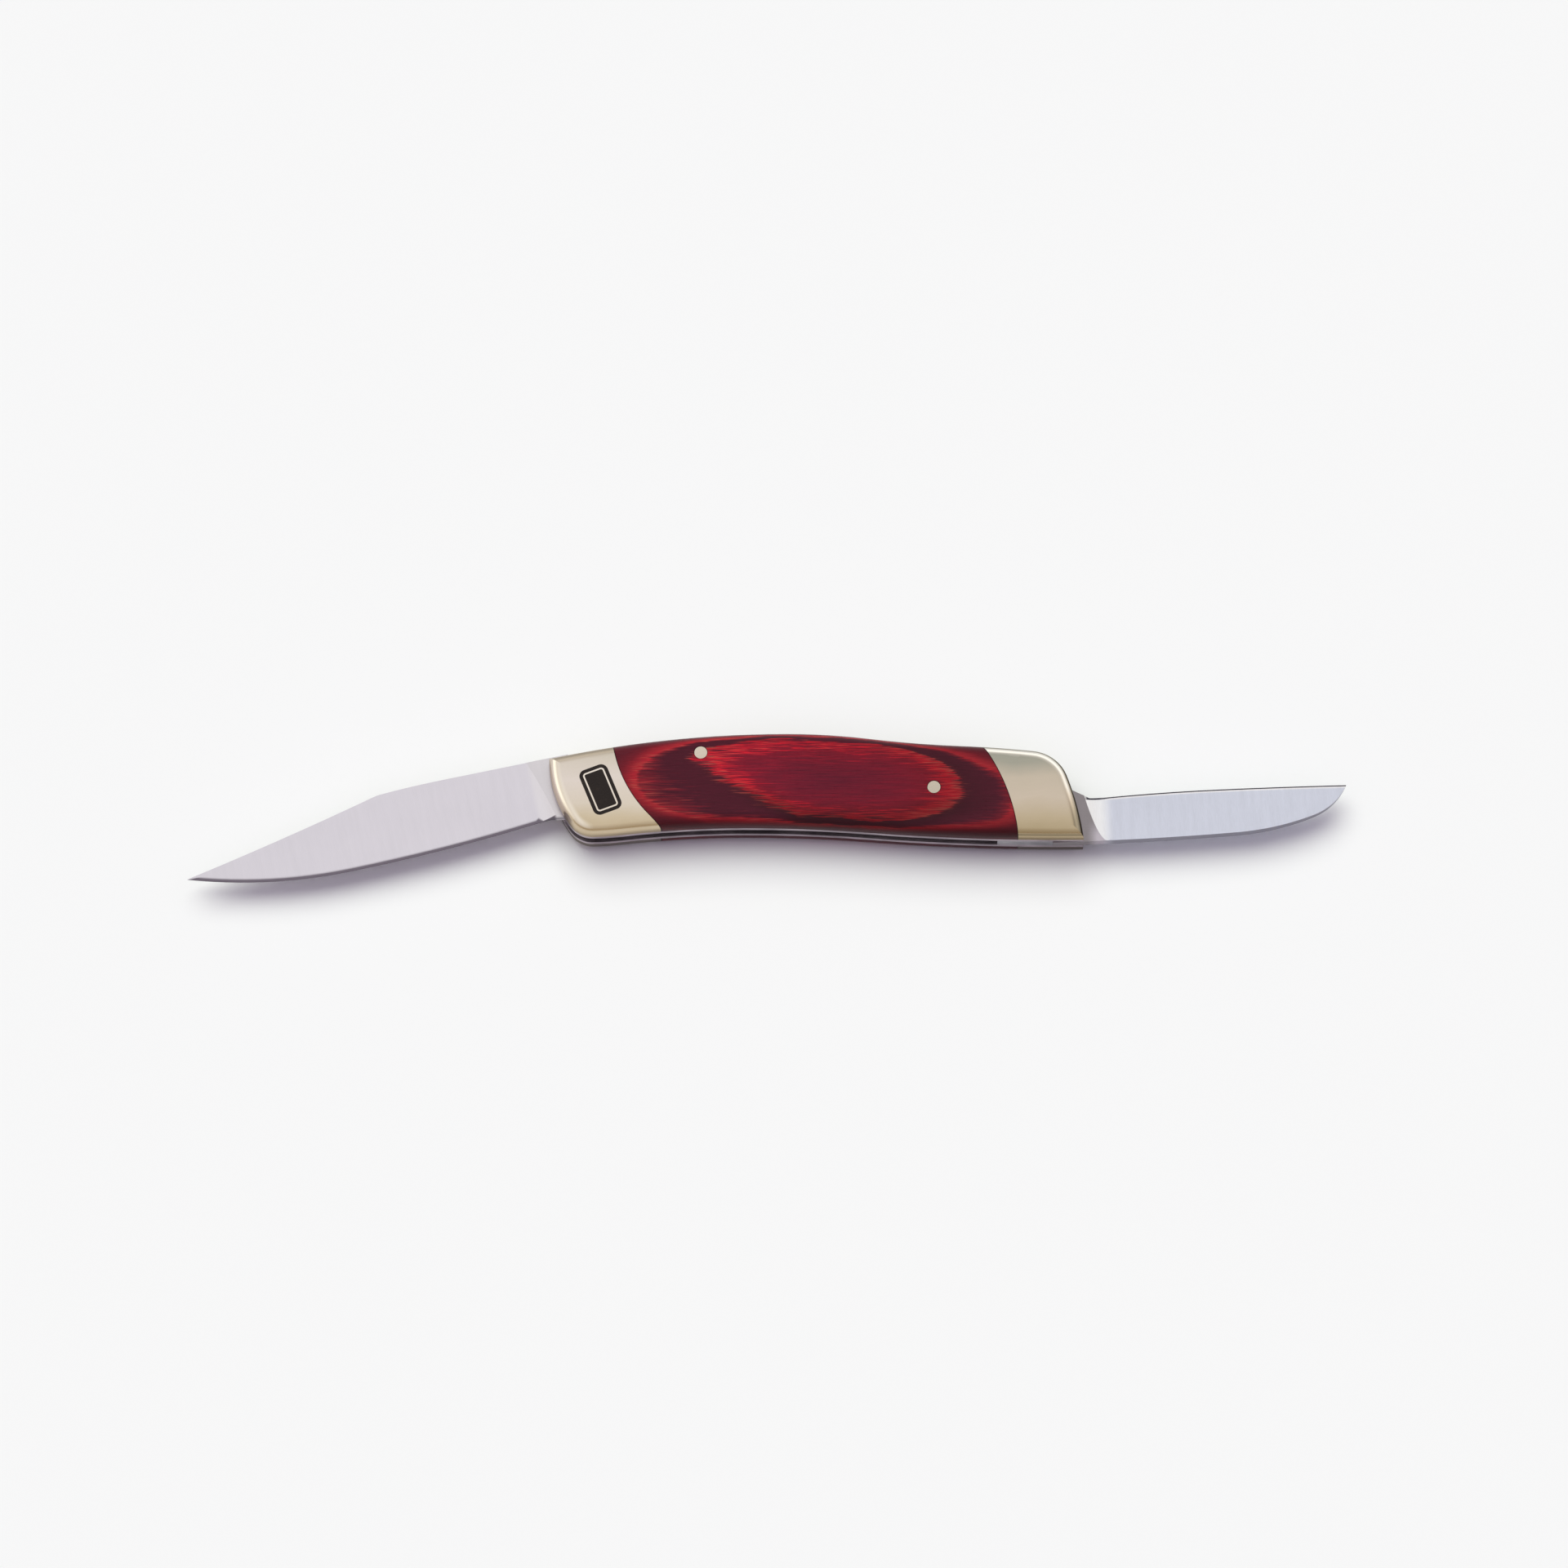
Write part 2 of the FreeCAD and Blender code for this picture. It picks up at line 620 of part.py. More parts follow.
class Blade:
    """One blade in its own frame: pivot at the origin, tip along +X, edge towards +Y."""

    def __init__(self, end, pivot):
        self.end = end
        self.pivot = pivot
        self.open_angle = "dim.%s_open_angle" % end
        self.shut_angle = "(dim.%s_open_angle + dim.%s_swing_angle)" % (end, end)
        self.spine = "dim.%s_spine" % end
        self.tip = ("(%s - dim.%s_tip_clear)" % (PIVOT_SPAN, end), "dim.%s_tip_across" % end)
        self.belly = (self.from_tip("edge"), "dim.%s_edge_across" % end)
        self.heel = ("dim.%s_heel_along" % end, "dim.%s_heel_across" % end)
        self.heel_radius = level_radius(self.belly, self.heel)
        self.tip_radius = level_radius(self.belly, self.tip)

    def from_tip(self, station):
        """Distance along the blade of a station that is set back from the tip."""
        return "(%s - dim.%s_%s_back)" % (self.tip[0], self.end, station)

    def back_break(self):
        """Corner at which the falling back of the clip blade meets the clip."""
        return self.from_tip("break"), "dim.clip_break_drop - " + self.spine

    def opened(self, corner):
        """Handle coordinates of a blade point with the blade open."""
        return turned(self.pivot, self.open_angle, corner)

    def shut(self, corner):
        """Handle coordinates of a blade point with the blade folded."""
        return turned(self.pivot, self.shut_angle, corner)

    def seat(self, slide):
        """Point of the tang's closing flat, slid along the spring from the pivot's foot."""
        back = "-dim.%s_swing_angle" % self.end
        return turned(("0", "0"), back, (slide, "-dim.tang_flat"))

    def outline(self, body):
        """Sketch of the whole blade with its tang."""
        reach = "sqrt(dim.tang_radius^2 - dim.tang_flat^2)"
        corners = [("dim.tang_shoulder", "-" + self.spine)]
        spans = []
        if self.end == "clip":
            level = (self.from_tip("fall"), "-" + self.spine)
            corners += [level, self.back_break()]
            spans += [LINE, (level_radius(level, self.back_break()), 1), ("dim.clip_sweep_radius", -1)]
        else:
            level = ("dim.pen_spine_along", "-" + self.spine)
            drop = (self.from_tip("drop"), "-dim.pen_drop_across")
            corners += [level, drop, (self.from_tip("nose"), "-dim.pen_nose_across")]
            spans += [LINE, (level_radius(level, drop), 1), FLOW_ON, FLOW_ON]
        corners += [self.tip, self.belly, self.heel]
        spans += [(self.tip_radius, 1), (self.heel_radius, 1)]
        corners += [self.seat("-dim.kick_reach"), self.seat(reach)]
        spans += [("dim.%s_choil_radius" % self.end, -1), LINE]
        corners += [("-" + reach, "-dim.tang_flat"), ("dim.tang_shoulder", "-dim.tang_flat")]
        spans += [("dim.tang_radius", 1), LINE, LINE]
        outline = Outline(body, "%s_outline" % body.Name)
        outline.loop(corners, spans)
        return outline

    def grind(self, body, towards_tip):
        """Hollow both faces towards the edge, turning about the centre of one edge arc."""
        name = "tip" if towards_tip else "heel"
        radius = self.tip_radius if towards_tip else self.heel_radius
        outline = Outline(body, "%s_grind_%s" % (body.Name, name), "YZ_Plane")
        outline.sketch.setExpression("AttachmentOffset.Base.z", self.belly[0])
        edge = self.belly[1]
        root = "-%s + dim.%s_grind_margin" % (self.spine, self.end)
        clear = "%s * 1.5" % BLADE_THICKNESS
        for side in ("", "-"):
            corners = [
                (edge, side + "dim.edge_blunt / 2"),
                ("%s - dim.edge_bevel" % edge, side + "dim.edge_stock / 2"),
                (root, side + "%s / 2" % BLADE_THICKNESS),
                (root, side + clear),
                ("%s + %s" % (edge, clear), side + clear),
                ("%s + %s" % (edge, clear), side + "dim.edge_blunt / 2"),
            ]
            outline.loop(corners, (LINE,) * len(corners))
        centre = "%s - %s" % (edge, radius)
        outline.axis((centre, "0"), (centre, "1"))
        before = body.Shape.Volume
        groove = body.newObject("PartDesign::Groove", "%s_groove_%s" % (body.Name, name))
        groove.Profile = outline.sketch
        groove.ReferenceAxis = (outline.sketch, ["Axis0"])
        groove.Reversed = towards_tip
        if towards_tip:
            run = "(%s - %s)" % (self.tip[0], self.belly[0])
            groove.setExpression("Angle", "asin(%s / (%s)) * 1.6" % (run, radius))
        else:
            groove.setExpression("Angle", self.plunge_angle())
        doc.recompute()
        if body.Shape.Volume >= before:
            raise RuntimeError("%s: the grind removed nothing" % body.Label)

    def plunge_angle(self):
        """Angle of the heel arc from the belly to where the grind starts."""
        run = "(%s - dim.%s_plunge_along)" % (self.belly[0], self.end)
        return "asin(%s / (%s))" % (run, self.heel_radius)

    def plunge(self, body, sign):
        """Wheel-shaped run-out of the grind on one face."""
        angle = self.plunge_angle()
        radius = "(%s)" % self.heel_radius
        edge = self.belly[1]
        width = "(%s + %s - dim.%s_grind_margin)" % (edge, self.spine, self.end)
        slope = "((%s - dim.edge_stock) / 2 / (%s - dim.edge_bevel))" % (BLADE_THICKNESS, width)
        inset = "(%s - (%s - %s) / cos(%s))" % (radius, radius, edge, angle)
        along = "%s - (%s - %s) * tan(%s)" % (self.belly[0], radius, edge, angle)
        floor = "dim.edge_stock / 2 + (%s - dim.edge_bevel) * %s" % (inset, slope)
        height = "%s + dim.plunge_wheel_radius - dim.plunge_dip" % floor
        outline = Outline(body, "%s_plunge_%s" % (body.Name, "front" if sign > 0 else "rear"), "XZ_Plane")
        outline.ring((along, "%d * (%s)" % (sign, height)), "dim.plunge_wheel_radius")
        before = body.Shape.Volume
        pocket = body.newObject("PartDesign::Pocket", "%s_plunge" % body.Name)
        pocket.Profile = outline.sketch
        pocket.UseCustomVector = True
        pocket.AlongSketchNormal = False
        pocket.setExpression("Direction.x", "-sin(%s)" % angle)
        pocket.setExpression("Direction.y", "cos(%s)" % angle)
        pocket.setExpression("Direction.z", "%d * %s" % (-sign, slope))
        pocket.SideType = "Symmetric"
        pocket.setExpression("Length", "6 * %s" % self.spine)
        doc.recompute()
        if body.Shape.Volume >= before:
            raise RuntimeError("%s: the plunge removed nothing" % body.Label)

    def make(self, label):
        """Build the blade, open."""
        body = new_body(label, SLOT_MIDDLE, self.pivot, self.open_angle)
        pad = add_pad(body, self.outline(body), BLADE_THICKNESS, both=True)
        if self.end == "clip":
            along, across = self.back_break()
            place = FreeCAD.Vector(number(along), number(across), 0)

            def at_break(edge):
                middle = edge.CenterOfMass
                return math.hypot(middle.x - place.x, middle.y - place.y) < 1e-6

            add_fillet(body, pad, "dim.clip_break_blend", at_break)
        self.grind(body, False)
        self.grind(body, True)
        self.plunge(body, 1)
        self.plunge(body, -1)
        drill(body, [("0", "0")], PIVOT_BORE, both=True)
        return body


CLIP_BLADE = Blade("clip", CLIP_PIVOT)
PEN_BLADE = Blade("pen", PEN_PIVOT)


def make_spring(label):
    """Back spring with an arm along the back to one tang and a foot under the other.

    Its web runs between the two folded edges and two pins hold it.
    """
    body = new_body(label, SLOT_BASE)
    flat = "(dim.tang_flat + dim.spring_seat_gap)"
    stop = "dim.tang_shoulder - dim.spring_seat_gap"
    ring = "(dim.tang_radius + dim.spring_tang_gap)"
    seat = "-sqrt(%s^2 - %s^2)" % (ring, flat)
    gap = "dim.spring_edge_gap"
    corners = []
    spans = []
    for blade, edge_limit in ((CLIP_BLADE, "-(%s)" % ABOVE), (PEN_BLADE, ABOVE)):
        front = "dim.%s_front_height" % blade.end
        belly = (blade.belly[0], "%s + %s" % (blade.belly[1], gap))
        past_tip = ("%s + %s" % (blade.tip[0], gap), "%s + %s" % (blade.tip[1], gap))
        tip = blade.shut(past_tip)
        corners += [
            blade.opened((stop, "-" + flat)),
            blade.opened((seat, "-" + flat)),
            blade.shut(("sqrt(%s^2 - %s^2)" % (ring, front), front)),
            blade.shut((blade.heel[0], "%s + %s" % (blade.heel[1], gap))),
            blade.shut(belly),
            tip,
            (tip[0], edge_limit),
        ]
        spans += [
            LINE,
            (ring, -1),
            LINE,
            (blade.heel_radius, -1),
            (level_radius(belly, past_tip), -1),
            LINE,
            LINE,
        ]
        other = PEN_BLADE if blade is CLIP_BLADE else CLIP_BLADE
        corners.append(other.opened((stop, "-%s - %s" % (other.spine, ABOVE))))
        spans.append(LINE)
    outline = Outline(body, "%s_outline" % label)
    outline.loop(corners, spans)
    add_pad(body, outline, "dim.slot_width")
    trim = handle_outline(body, "trim")
    far, high = BEYOND, "2 * (%s)" % ABOVE
    frame = ((far, high), ("-(%s)" % far, high), ("-(%s)" % far, "-(%s)" % high), (far, "-(%s)" % high))
    trim.loop(frame, (LINE,) * 4)
    add_pocket(body, trim)
    drill(body, [UPPER_PIN, LOWER_PIN], SHANK_SEAT)
    return body


SUB_PARTS = [
    make_liner("front_liner", FRONT_LINER_BASE),
    make_liner("rear_liner", REAR_LINER_BASE),
    make_scale("front_scale", FRONT_COVER_BASE, 1),
    make_scale("rear_scale", REAR_LINER_BASE, -1),
    make_bolster("front_clip_bolster", FRONT_COVER_BASE, 1, "clip", CLIP_SEAM, False),
    make_bolster("rear_clip_bolster", REAR_LINER_BASE, -1, "clip", CLIP_SEAM, True),
    make_bolster("front_pen_bolster", FRONT_COVER_BASE, 1, "pen", PEN_SEAM, False),
    make_bolster("rear_pen_bolster", REAR_LINER_BASE, -1, "pen", PEN_SEAM, True),
    make_plaque("bolster_plaque"),
    make_spring("back_spring"),
    CLIP_BLADE.make("clip_blade"),
    PEN_BLADE.make("pen_blade"),
]
sink_plaque(SUB_PARTS[4])
PIVOT_LENGTH = "(%s - dim.pivot_cover)" % WHOLE_THICKNESS
for pin_label, pin_place in (("clip_pivot_pin", CLIP_PIVOT), ("pen_pivot_pin", PEN_PIVOT)):
    size = "dim.pivot_diameter"
    SUB_PARTS.append(make_pin(pin_label, pin_place, PIVOT_LENGTH, size, size, "0"))
for pin_label, pin_place in (("upper_scale_pin", UPPER_PIN), ("lower_scale_pin", LOWER_PIN)):
    sizes = ("dim.scale_pin_head", "dim.scale_pin_shank", "dim.scale_pin_head_depth")
    SUB_PARTS.append(make_pin(pin_label, pin_place, WHOLE_THICKNESS, *sizes))
for rivet_end in ("clip", "pen"):
    SUB_PARTS.append(make_rivets("front_%s_rivets" % rivet_end, FRONT_LINER_BASE, rivet_end))
    rear_base = "%s - dim.rivet_grip" % REAR_LINER_BASE
    SUB_PARTS.append(make_rivets("rear_%s_rivets" % rivet_end, rear_base, rivet_end))

doc.recompute()
for item in doc.Objects:
    if "Invalid" in item.State or "Error" in item.State:
        raise RuntimeError("%s did not build: %s" % (item.Name, item.State))
for item in SUB_PARTS:
    if item.Shape.isNull() or not item.Shape.isValid():
        raise RuntimeError("%s has no valid shape" % item.Label)

os.makedirs("parts", exist_ok=True)
for item in SUB_PARTS:
    item.Shape.exportStep("parts/%s.step" % item.Label)
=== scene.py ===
"""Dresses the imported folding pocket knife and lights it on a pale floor.

The knife lies on its rear face with both blades open. X runs along the handle towards the pen
blade, Y across it towards the back of the clip blade and Z up out of the front face. Meshes are in
metres; the sizes of patterns and small pieces are written in millimetres.
"""
import logging
import math
from dataclasses import dataclass, field, replace
from enum import Enum
from functools import reduce
from typing import Any

import bmesh
import bpy
from mathutils import Matrix, Vector


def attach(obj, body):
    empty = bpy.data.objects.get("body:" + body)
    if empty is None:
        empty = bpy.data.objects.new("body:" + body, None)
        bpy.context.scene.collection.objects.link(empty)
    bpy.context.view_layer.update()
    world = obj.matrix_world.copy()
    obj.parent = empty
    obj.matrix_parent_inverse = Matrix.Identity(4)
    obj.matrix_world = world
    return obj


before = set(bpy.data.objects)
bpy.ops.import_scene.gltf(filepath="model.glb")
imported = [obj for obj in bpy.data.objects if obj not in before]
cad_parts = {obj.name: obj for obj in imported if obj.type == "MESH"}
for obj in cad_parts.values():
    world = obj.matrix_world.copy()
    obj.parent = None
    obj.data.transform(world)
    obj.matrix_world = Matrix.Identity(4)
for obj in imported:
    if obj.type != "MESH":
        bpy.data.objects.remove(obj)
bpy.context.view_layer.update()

Colour = tuple[float, float, float]
Spot = tuple[float, float]  # Place or direction along and across
Span = tuple[float, float]  # Start and end of a soft step
Band = tuple[float, float]  # Middle and half width of a soft bump
Stops = tuple[tuple[float, Colour], ...]
Setting = Any

LOG = logging.getLogger("pocket_knife")
MM = 0.001
THICKNESS = 9.25  # Of the handle, in millimetres
MID_PLANE = THICKNESS / 2
NOISE_MEAN = 0.5
METAL_LIGHT = 0.985  # Shade of plain metal between its lines
NEXT_TO_NOTHING = 0.0001  # Keeps a quotient finite
ABOVE_ALL: Span = (19.0, 20.0)  # Clear of the handle on its upper side
BELOW_ALL: Span = (-20.0, -19.0)  # Clear of the handle on its lower side
BLACK: Colour = (0.0, 0.0, 0.0)
PALE: Colour = (0.936, 0.936, 0.938)


class Side(Enum):
    """Which cover of the handle a piece belongs to."""

    FRONT = "front"
    REAR = "rear"


class End(Enum):
    """Which end of the handle a piece belongs to."""

    CLIP = "clip"
    PEN = "pen"


def tone(red: float, green: float, blue: float) -> Colour:
    """Linear colour of a given colour.

    Args:
        red: Red from 0 to 255.
        green: Green from 0 to 255.
        blue: Blue from 0 to 255.

    Returns:
        The colour as linear light.
    """
    def linear(value: float) -> float:
        """Linear light of one channel."""
        share = value / 255
        return share / 12.92 if share <= 0.04045 else ((share + 0.055) / 1.055) ** 2.4

    return linear(red), linear(green), linear(blue)


class Signal:
    """A socket's value inside a shader, with the operators that its maths needs."""

    def __init__(self, bench: "Bench", socket: bpy.types.NodeSocket) -> None:
        """Keep the socket and the bench that its nodes are made on."""
        self.bench = bench
        self.socket = socket

    def _math(self, operation: str, *terms: "Signal | float") -> "Signal":
        """Add one Math node.

        Args:
            operation: The node's operation.
            terms: Its operands in order.

        Returns:
            The node's result.
        """
        node = self.bench.node("ShaderNodeMath", {"operation": operation}, dict(enumerate(terms)))
        return self.bench.out(node)

    def __add__(self, other: "Signal | float") -> "Signal":
        """Sum."""
        return self._math("ADD", self, other)

    __radd__ = __add__

    def __sub__(self, other: "Signal | float") -> "Signal":
        """Difference."""
        return self._math("SUBTRACT", self, other)

    def __rsub__(self, other: "Signal | float") -> "Signal":
        """Difference from a number."""
        return self._math("SUBTRACT", other, self)

    def __mul__(self, other: "Signal | float") -> "Signal":
        """Product."""
        return self._math("MULTIPLY", self, other)

    __rmul__ = __mul__

    def __truediv__(self, other: "Signal | float") -> "Signal":
        """Quotient."""
        return self._math("DIVIDE", self, other)

    def __rtruediv__(self, other: "Signal | float") -> "Signal":
        """Quotient of a number."""
        return self._math("DIVIDE", other, self)

    def __pow__(self, power: "Signal | float") -> "Signal":
        """Power."""
        return self._math("POWER", self, power)

    def __abs__(self) -> "Signal":
        """Size without the sign."""
        return self._math("ABSOLUTE", self)

    def least(self, other: "Signal | float") -> "Signal":
        """Smaller of two values."""
        return self._math("MINIMUM", self, other)

    def most(self, other: "Signal | float") -> "Signal":
        """Larger of two values."""
        return self._math("MAXIMUM", self, other)

    def swing(self, size: "Signal | float") -> "Signal":
        """A noise as a swing about 0."""
        return (self - NOISE_MEAN) * size

    def rise(self, low: float, high: float) -> "Signal":
        """Smooth step.

        Args:
            low: Value at which the step starts, where it is 0.
            high: Value at which it ends, where it is 1.

        Returns:
            The step.
        """
        settings = {"interpolation_type": "SMOOTHSTEP"}
        inputs = {"Value": self, "From Min": low, "From Max": high}
        return self.bench.out(self.bench.node("ShaderNodeMapRange", settings, inputs))

    def past(self, level: float, blur: Span) -> "Signal":
        """Smooth step that starts and ends at the given distances past a level."""
        return self.rise(level + blur[0], level + blur[1])

    def around(self, middle: float, half: float) -> "Signal":
        """Soft bump.

        Args:
            middle: Value at which the bump is 1.
            half: Distance from there at which it is 0.

        Returns:
            The bump.
        """
        return 1 - abs(self - middle).rise(0.0, half)


@dataclass(frozen=True)
class Grain:
    """Noise drawn out into streaks: direction in degrees, length, width, octaves and origin."""

    lean: float
    run: float
    gauge: float
    detail: float
    origin: Spot = (0.0, 0.0)


class Bench:
    """A node tree and the few ways in which the finishes add to it."""

    def __init__(self, tree: bpy.types.NodeTree) -> None:
        """Start from an empty tree."""
        self.tree = tree
        tree.nodes.clear()

    def node(
        self,
        kind: str,
        settings: dict[str, Setting] | None = None,
        inputs: dict[str | int, Setting] | None = None,
    ) -> bpy.types.Node:
        """Add any node.

        Args:
            kind: The node's type.
            settings: Its own settings, set first; "stops" are the stops of a ramp.
            inputs: Values or signals for its sockets, by name or number.

        Returns:
            The node.
        """
        made = self.tree.nodes.new(kind)
        for name, value in (settings or {}).items():
            if name == "stops":
                self._set_stops(made.color_ramp, value)
            else:
                setattr(made, name, value)
        for key, value in (inputs or {}).items():
            if isinstance(value, Signal):
                self.tree.links.new(value.socket, made.inputs[key])
            else:
                made.inputs[key].default_value = value
        return made

    @staticmethod
    def _set_stops(ramp: bpy.types.ColorRamp, stops: Stops) -> None:
        """Give a ramp its stops.

        Args:
            ramp: The ramp.
            stops: Places from 0 to 1 with their colours, in order.
        """
        while len(ramp.elements) > 1:
            ramp.elements.remove(ramp.elements[-1])
        for index, (place, colour) in enumerate(stops):
            element = ramp.elements[0] if index == 0 else ramp.elements.new(place)
            element.position = place
            element.color = (*colour, 1.0)

    def out(self, node: bpy.types.Node, name: str | int = 0) -> Signal:
        """One output of a node, as a signal."""
        return Signal(self, node.outputs[name])

    def vector(self, operation: str, inputs: dict[str | int, Setting]) -> Signal:
        """Result of one Vector Math node."""
        return self.out(self.node("ShaderNodeVectorMath", {"operation": operation}, inputs))

    def place(self) -> Signal:
        """Object coordinates in millimetres."""
        source = self.out(self.node("ShaderNodeTexCoord"), "Object")
        return self.vector("SCALE", {0: source, "Scale": 1 / MM})

    def facing(self) -> tuple[Signal, Signal, Signal]:
        """The three parts of the surface's own direction."""
        return self.parts(self.out(self.node("ShaderNodeTexCoord"), "Normal"))

    def parts(self, vector: Signal) -> tuple[Signal, Signal, Signal]:
        """The three parts of a vector."""
        split = self.node("ShaderNodeSeparateXYZ", None, {0: vector})
        return self.out(split, 0), self.out(split, 1), self.out(split, 2)

    def fitted(self, vector: Signal, centre: Spot, lean: float, reach: Spot) -> Signal:
        """Coordinates about a centre, turned and measured in the lengths given.

        Args:
            vector: Coordinates in millimetres.
            centre: The new origin.
            lean: Turn about Z in degrees.
            reach: Lengths that count as 1 along the two turned axes.

        Returns:
            The new coordinates.
        """
        inputs = {
            "Vector": vector,
            "Location": (centre[0], centre[1], 0.0),
            "Rotation": (0.0, 0.0, math.radians(lean)),
            "Scale": (reach[0], reach[1], reach[1]),
        }
        return self.out(self.node("ShaderNodeMapping", {"vector_type": "TEXTURE"}, inputs))

    def streaks(self, vector: Signal, grain: Grain) -> Signal:
        """Noise drawn out into streaks, or into blotches where these are as wide as long.

        Args:
            vector: Coordinates in millimetres.
            grain: Size and direction of the streaks.

        Returns:
            The noise, around its mean.
        """
        drawn = self.fitted(vector, grain.origin, grain.lean, (grain.run, grain.gauge))
        inputs = {"Vector": drawn, "Scale": 1.0, "Detail": grain.detail}
        return self.out(self.node("ShaderNodeTexNoise", None, inputs))

    def mix(self, share: Signal, first: Signal | Colour, second: Signal | Colour) -> Signal:
        """Blend of two colours.

        Args:
            share: Share of the second colour.
            first: Colour at share 0.
            second: Colour at share 1.

        Returns:
            The blend.
        """
        ends = [end if isinstance(end, Signal) else (*end, 1.0) for end in (first, second)]
        inputs = {0: share, 6: ends[0], 7: ends[1]}
        return self.out(self.node("ShaderNodeMix", {"data_type": "RGBA"}, inputs), 2)

    def shade(self, colour: Signal, strength: Signal) -> Signal:
        """A colour made lighter or darker by a factor."""
        return self.vector("SCALE", {0: colour, "Scale": strength})

    def ramp(self, value: Signal, stops: Stops) -> Signal:
        """Colour along a run of stops.

        Args:
            value: Place along the run.
            stops: Places with their colours, in order.

        Returns:
            The colour.
        """
        first = stops[0][0]
        span = stops[-1][0] - first
        placed = tuple(((place - first) / span, colour) for place, colour in stops)
        share = (value - first) / span
        return self.out(self.node("ShaderNodeValToRGB", {"stops": placed}, {0: share}))

    def bump(self, height: Signal, depth: float) -> Signal:
        """Normal of a fine relief.

        Args:
            height: Relief from 0 to 1.
            depth: Its depth in millimetres.

        Returns:
            The normal.
        """
        inputs = {"Height": height, "Distance": depth * MM, "Strength": 1.0}
        return self.out(self.node("ShaderNodeBump", None, inputs))


@dataclass(frozen=True)
class Finish:
    """A named surface; each kind of finish paints itself on a bench."""

    name: str

    def paint(self, bench: Bench) -> dict[str, Setting]:
        """Work out the surface.

        Args:
            bench: Bench of the new material.

        Returns:
            Values and signals for the sockets of the surface shader.
        """
        raise NotImplementedError

    def material(self) -> bpy.types.Material:
        """Make the material, or find it if another piece has it already.

        Returns:
            The material.
        """
        found = bpy.data.materials.get(self.name)
        if found is not None:
            return found
        made = bpy.data.materials.new(self.name)
        made.use_nodes = True
        bench = Bench(made.node_tree)
        surface = bench.node("ShaderNodeBsdfPrincipled", None, self.paint(bench))
        bench.node("ShaderNodeOutputMaterial", None, {"Surface": bench.out(surface)})
        return made

    def dress(self, piece: bpy.types.Object) -> None:
        """Put the finish on a piece.

        Args:
            piece: The piece to finish.
        """
        piece.data.materials.clear()
        piece.data.materials.append(self.material())
        LOG.info("%s: %s", piece.name, self.name)


@dataclass(frozen=True)
class Trim:
    """Straight line across a face: a spot on it, its direction in degrees and its softness."""

    spot: Spot
    lean: float
    soft: float

    def level(self, bench: Bench, place: Signal) -> Signal:
        """Distance past the line, 1 on the line itself.

        Args:
            bench: Bench of the material.
            place: Coordinates in millimetres.

        Returns:
            The distance.
        """
        turned = bench.fitted(place, self.spot, self.lean, (self.soft, self.soft))
        return 1 - bench.parts(turned)[1]


@dataclass(frozen=True)
class Oval:
    """An oval on the handle's face, with its half lengths to the right and up.

    Square fills out its corners, the tail lengthens its left end, a trim cuts it off, and the droop
    bends its right end down.
    """

    centre: Spot
    reach: Spot
    lean: float = 0.0
    square: float = 2.0
    tail: float = 1.0
    trim: Trim | None = None
    droop: float = 0.0

    def level(self, bench: Bench, place: Signal) -> Signal:
        """Distance from the centre, 1 on the oval itself.

        Args:
            bench: Bench of the material.
            place: Coordinates in millimetres.

        Returns:
            The distance.
        """
        along, across, _ = bench.parts(bench.fitted(place, self.centre, self.lean, self.reach))
        across = across + along.most(0.0) ** 2 * self.droop
        along = along.most(along / -self.tail)
        level = (along ** self.square + abs(across) ** self.square) ** (1 / self.square)
        return level if self.trim is None else level.most(self.trim.level(bench, place))


@dataclass(frozen=True)
class SeamLine:
    """Curved joint between the wood and a bolster: a circle and the end that it lies at.

    Its shadow starts at the width from the joint, is full at the core, and fades in over a span of
    distances from the middle of the handle.
    """

    centre: Spot
    radius: float
    end: End
    width: float = 0.2
    core: float = 0.03
    from_middle: Span = (14.0, 20.0)

    def shadow(self, bench: Bench, place: Signal) -> Signal:
        """Dark line close to the joint, 1 at the joint itself.

        Args:
            bench: Bench of the material.
            place: Coordinates in millimetres.

        Returns:
            The line.
        """
        away = Oval(self.centre, (self.radius, self.radius)).level(bench, place)
        line = away.rise(1 - self.width / self.radius, 1 - self.core / self.radius)
        along = bench.parts(place)[0]
        side = -1.0 if self.end is End.CLIP else 1.0
        return line * (along * side).rise(*self.from_middle)


@dataclass(frozen=True)
class Patch:
    """Part of the handle's face, bounded by one or more soft steps, and how strong it is there."""

    strength: float
    right_of: Span | None = None
    left_of: Span | None = None
    above: Span | None = None
    below: Span | None = None

    def share(self, along: Signal, across: Signal) -> Signal:
        """Strength at a place.

        Args:
            along: Place along the handle.
            across: Place across it.

        Returns:
            The strength, 0 outside the patch.
        """
        rising = ((along, self.right_of), (across, self.above))
        falling = ((along, self.left_of), (across, self.below))
        steps = [place.rise(*span) for place, span in rising if span is not None]
        steps += [1 - place.rise(*span) for place, span in falling if span is not None]
        return reduce(Signal.__mul__, steps) * self.strength


@dataclass(frozen=True)
class Cut:
    """Where a spot on the wood lies, as signals.

    Along and across the handle, its depth below the face, and its distances from the centres of the
    inner and the outer oval, which are 1 on the ovals themselves.
    """

    along: Signal
    across: Signal
    depth: Signal
    inside: Signal
    outside: Signal

    def strongest(self, patches: tuple[Patch, ...]) -> Signal:
        """Strength of the patch that counts most here."""
        return reduce(Signal.most, [patch.share(self.along, self.across) for patch in patches])


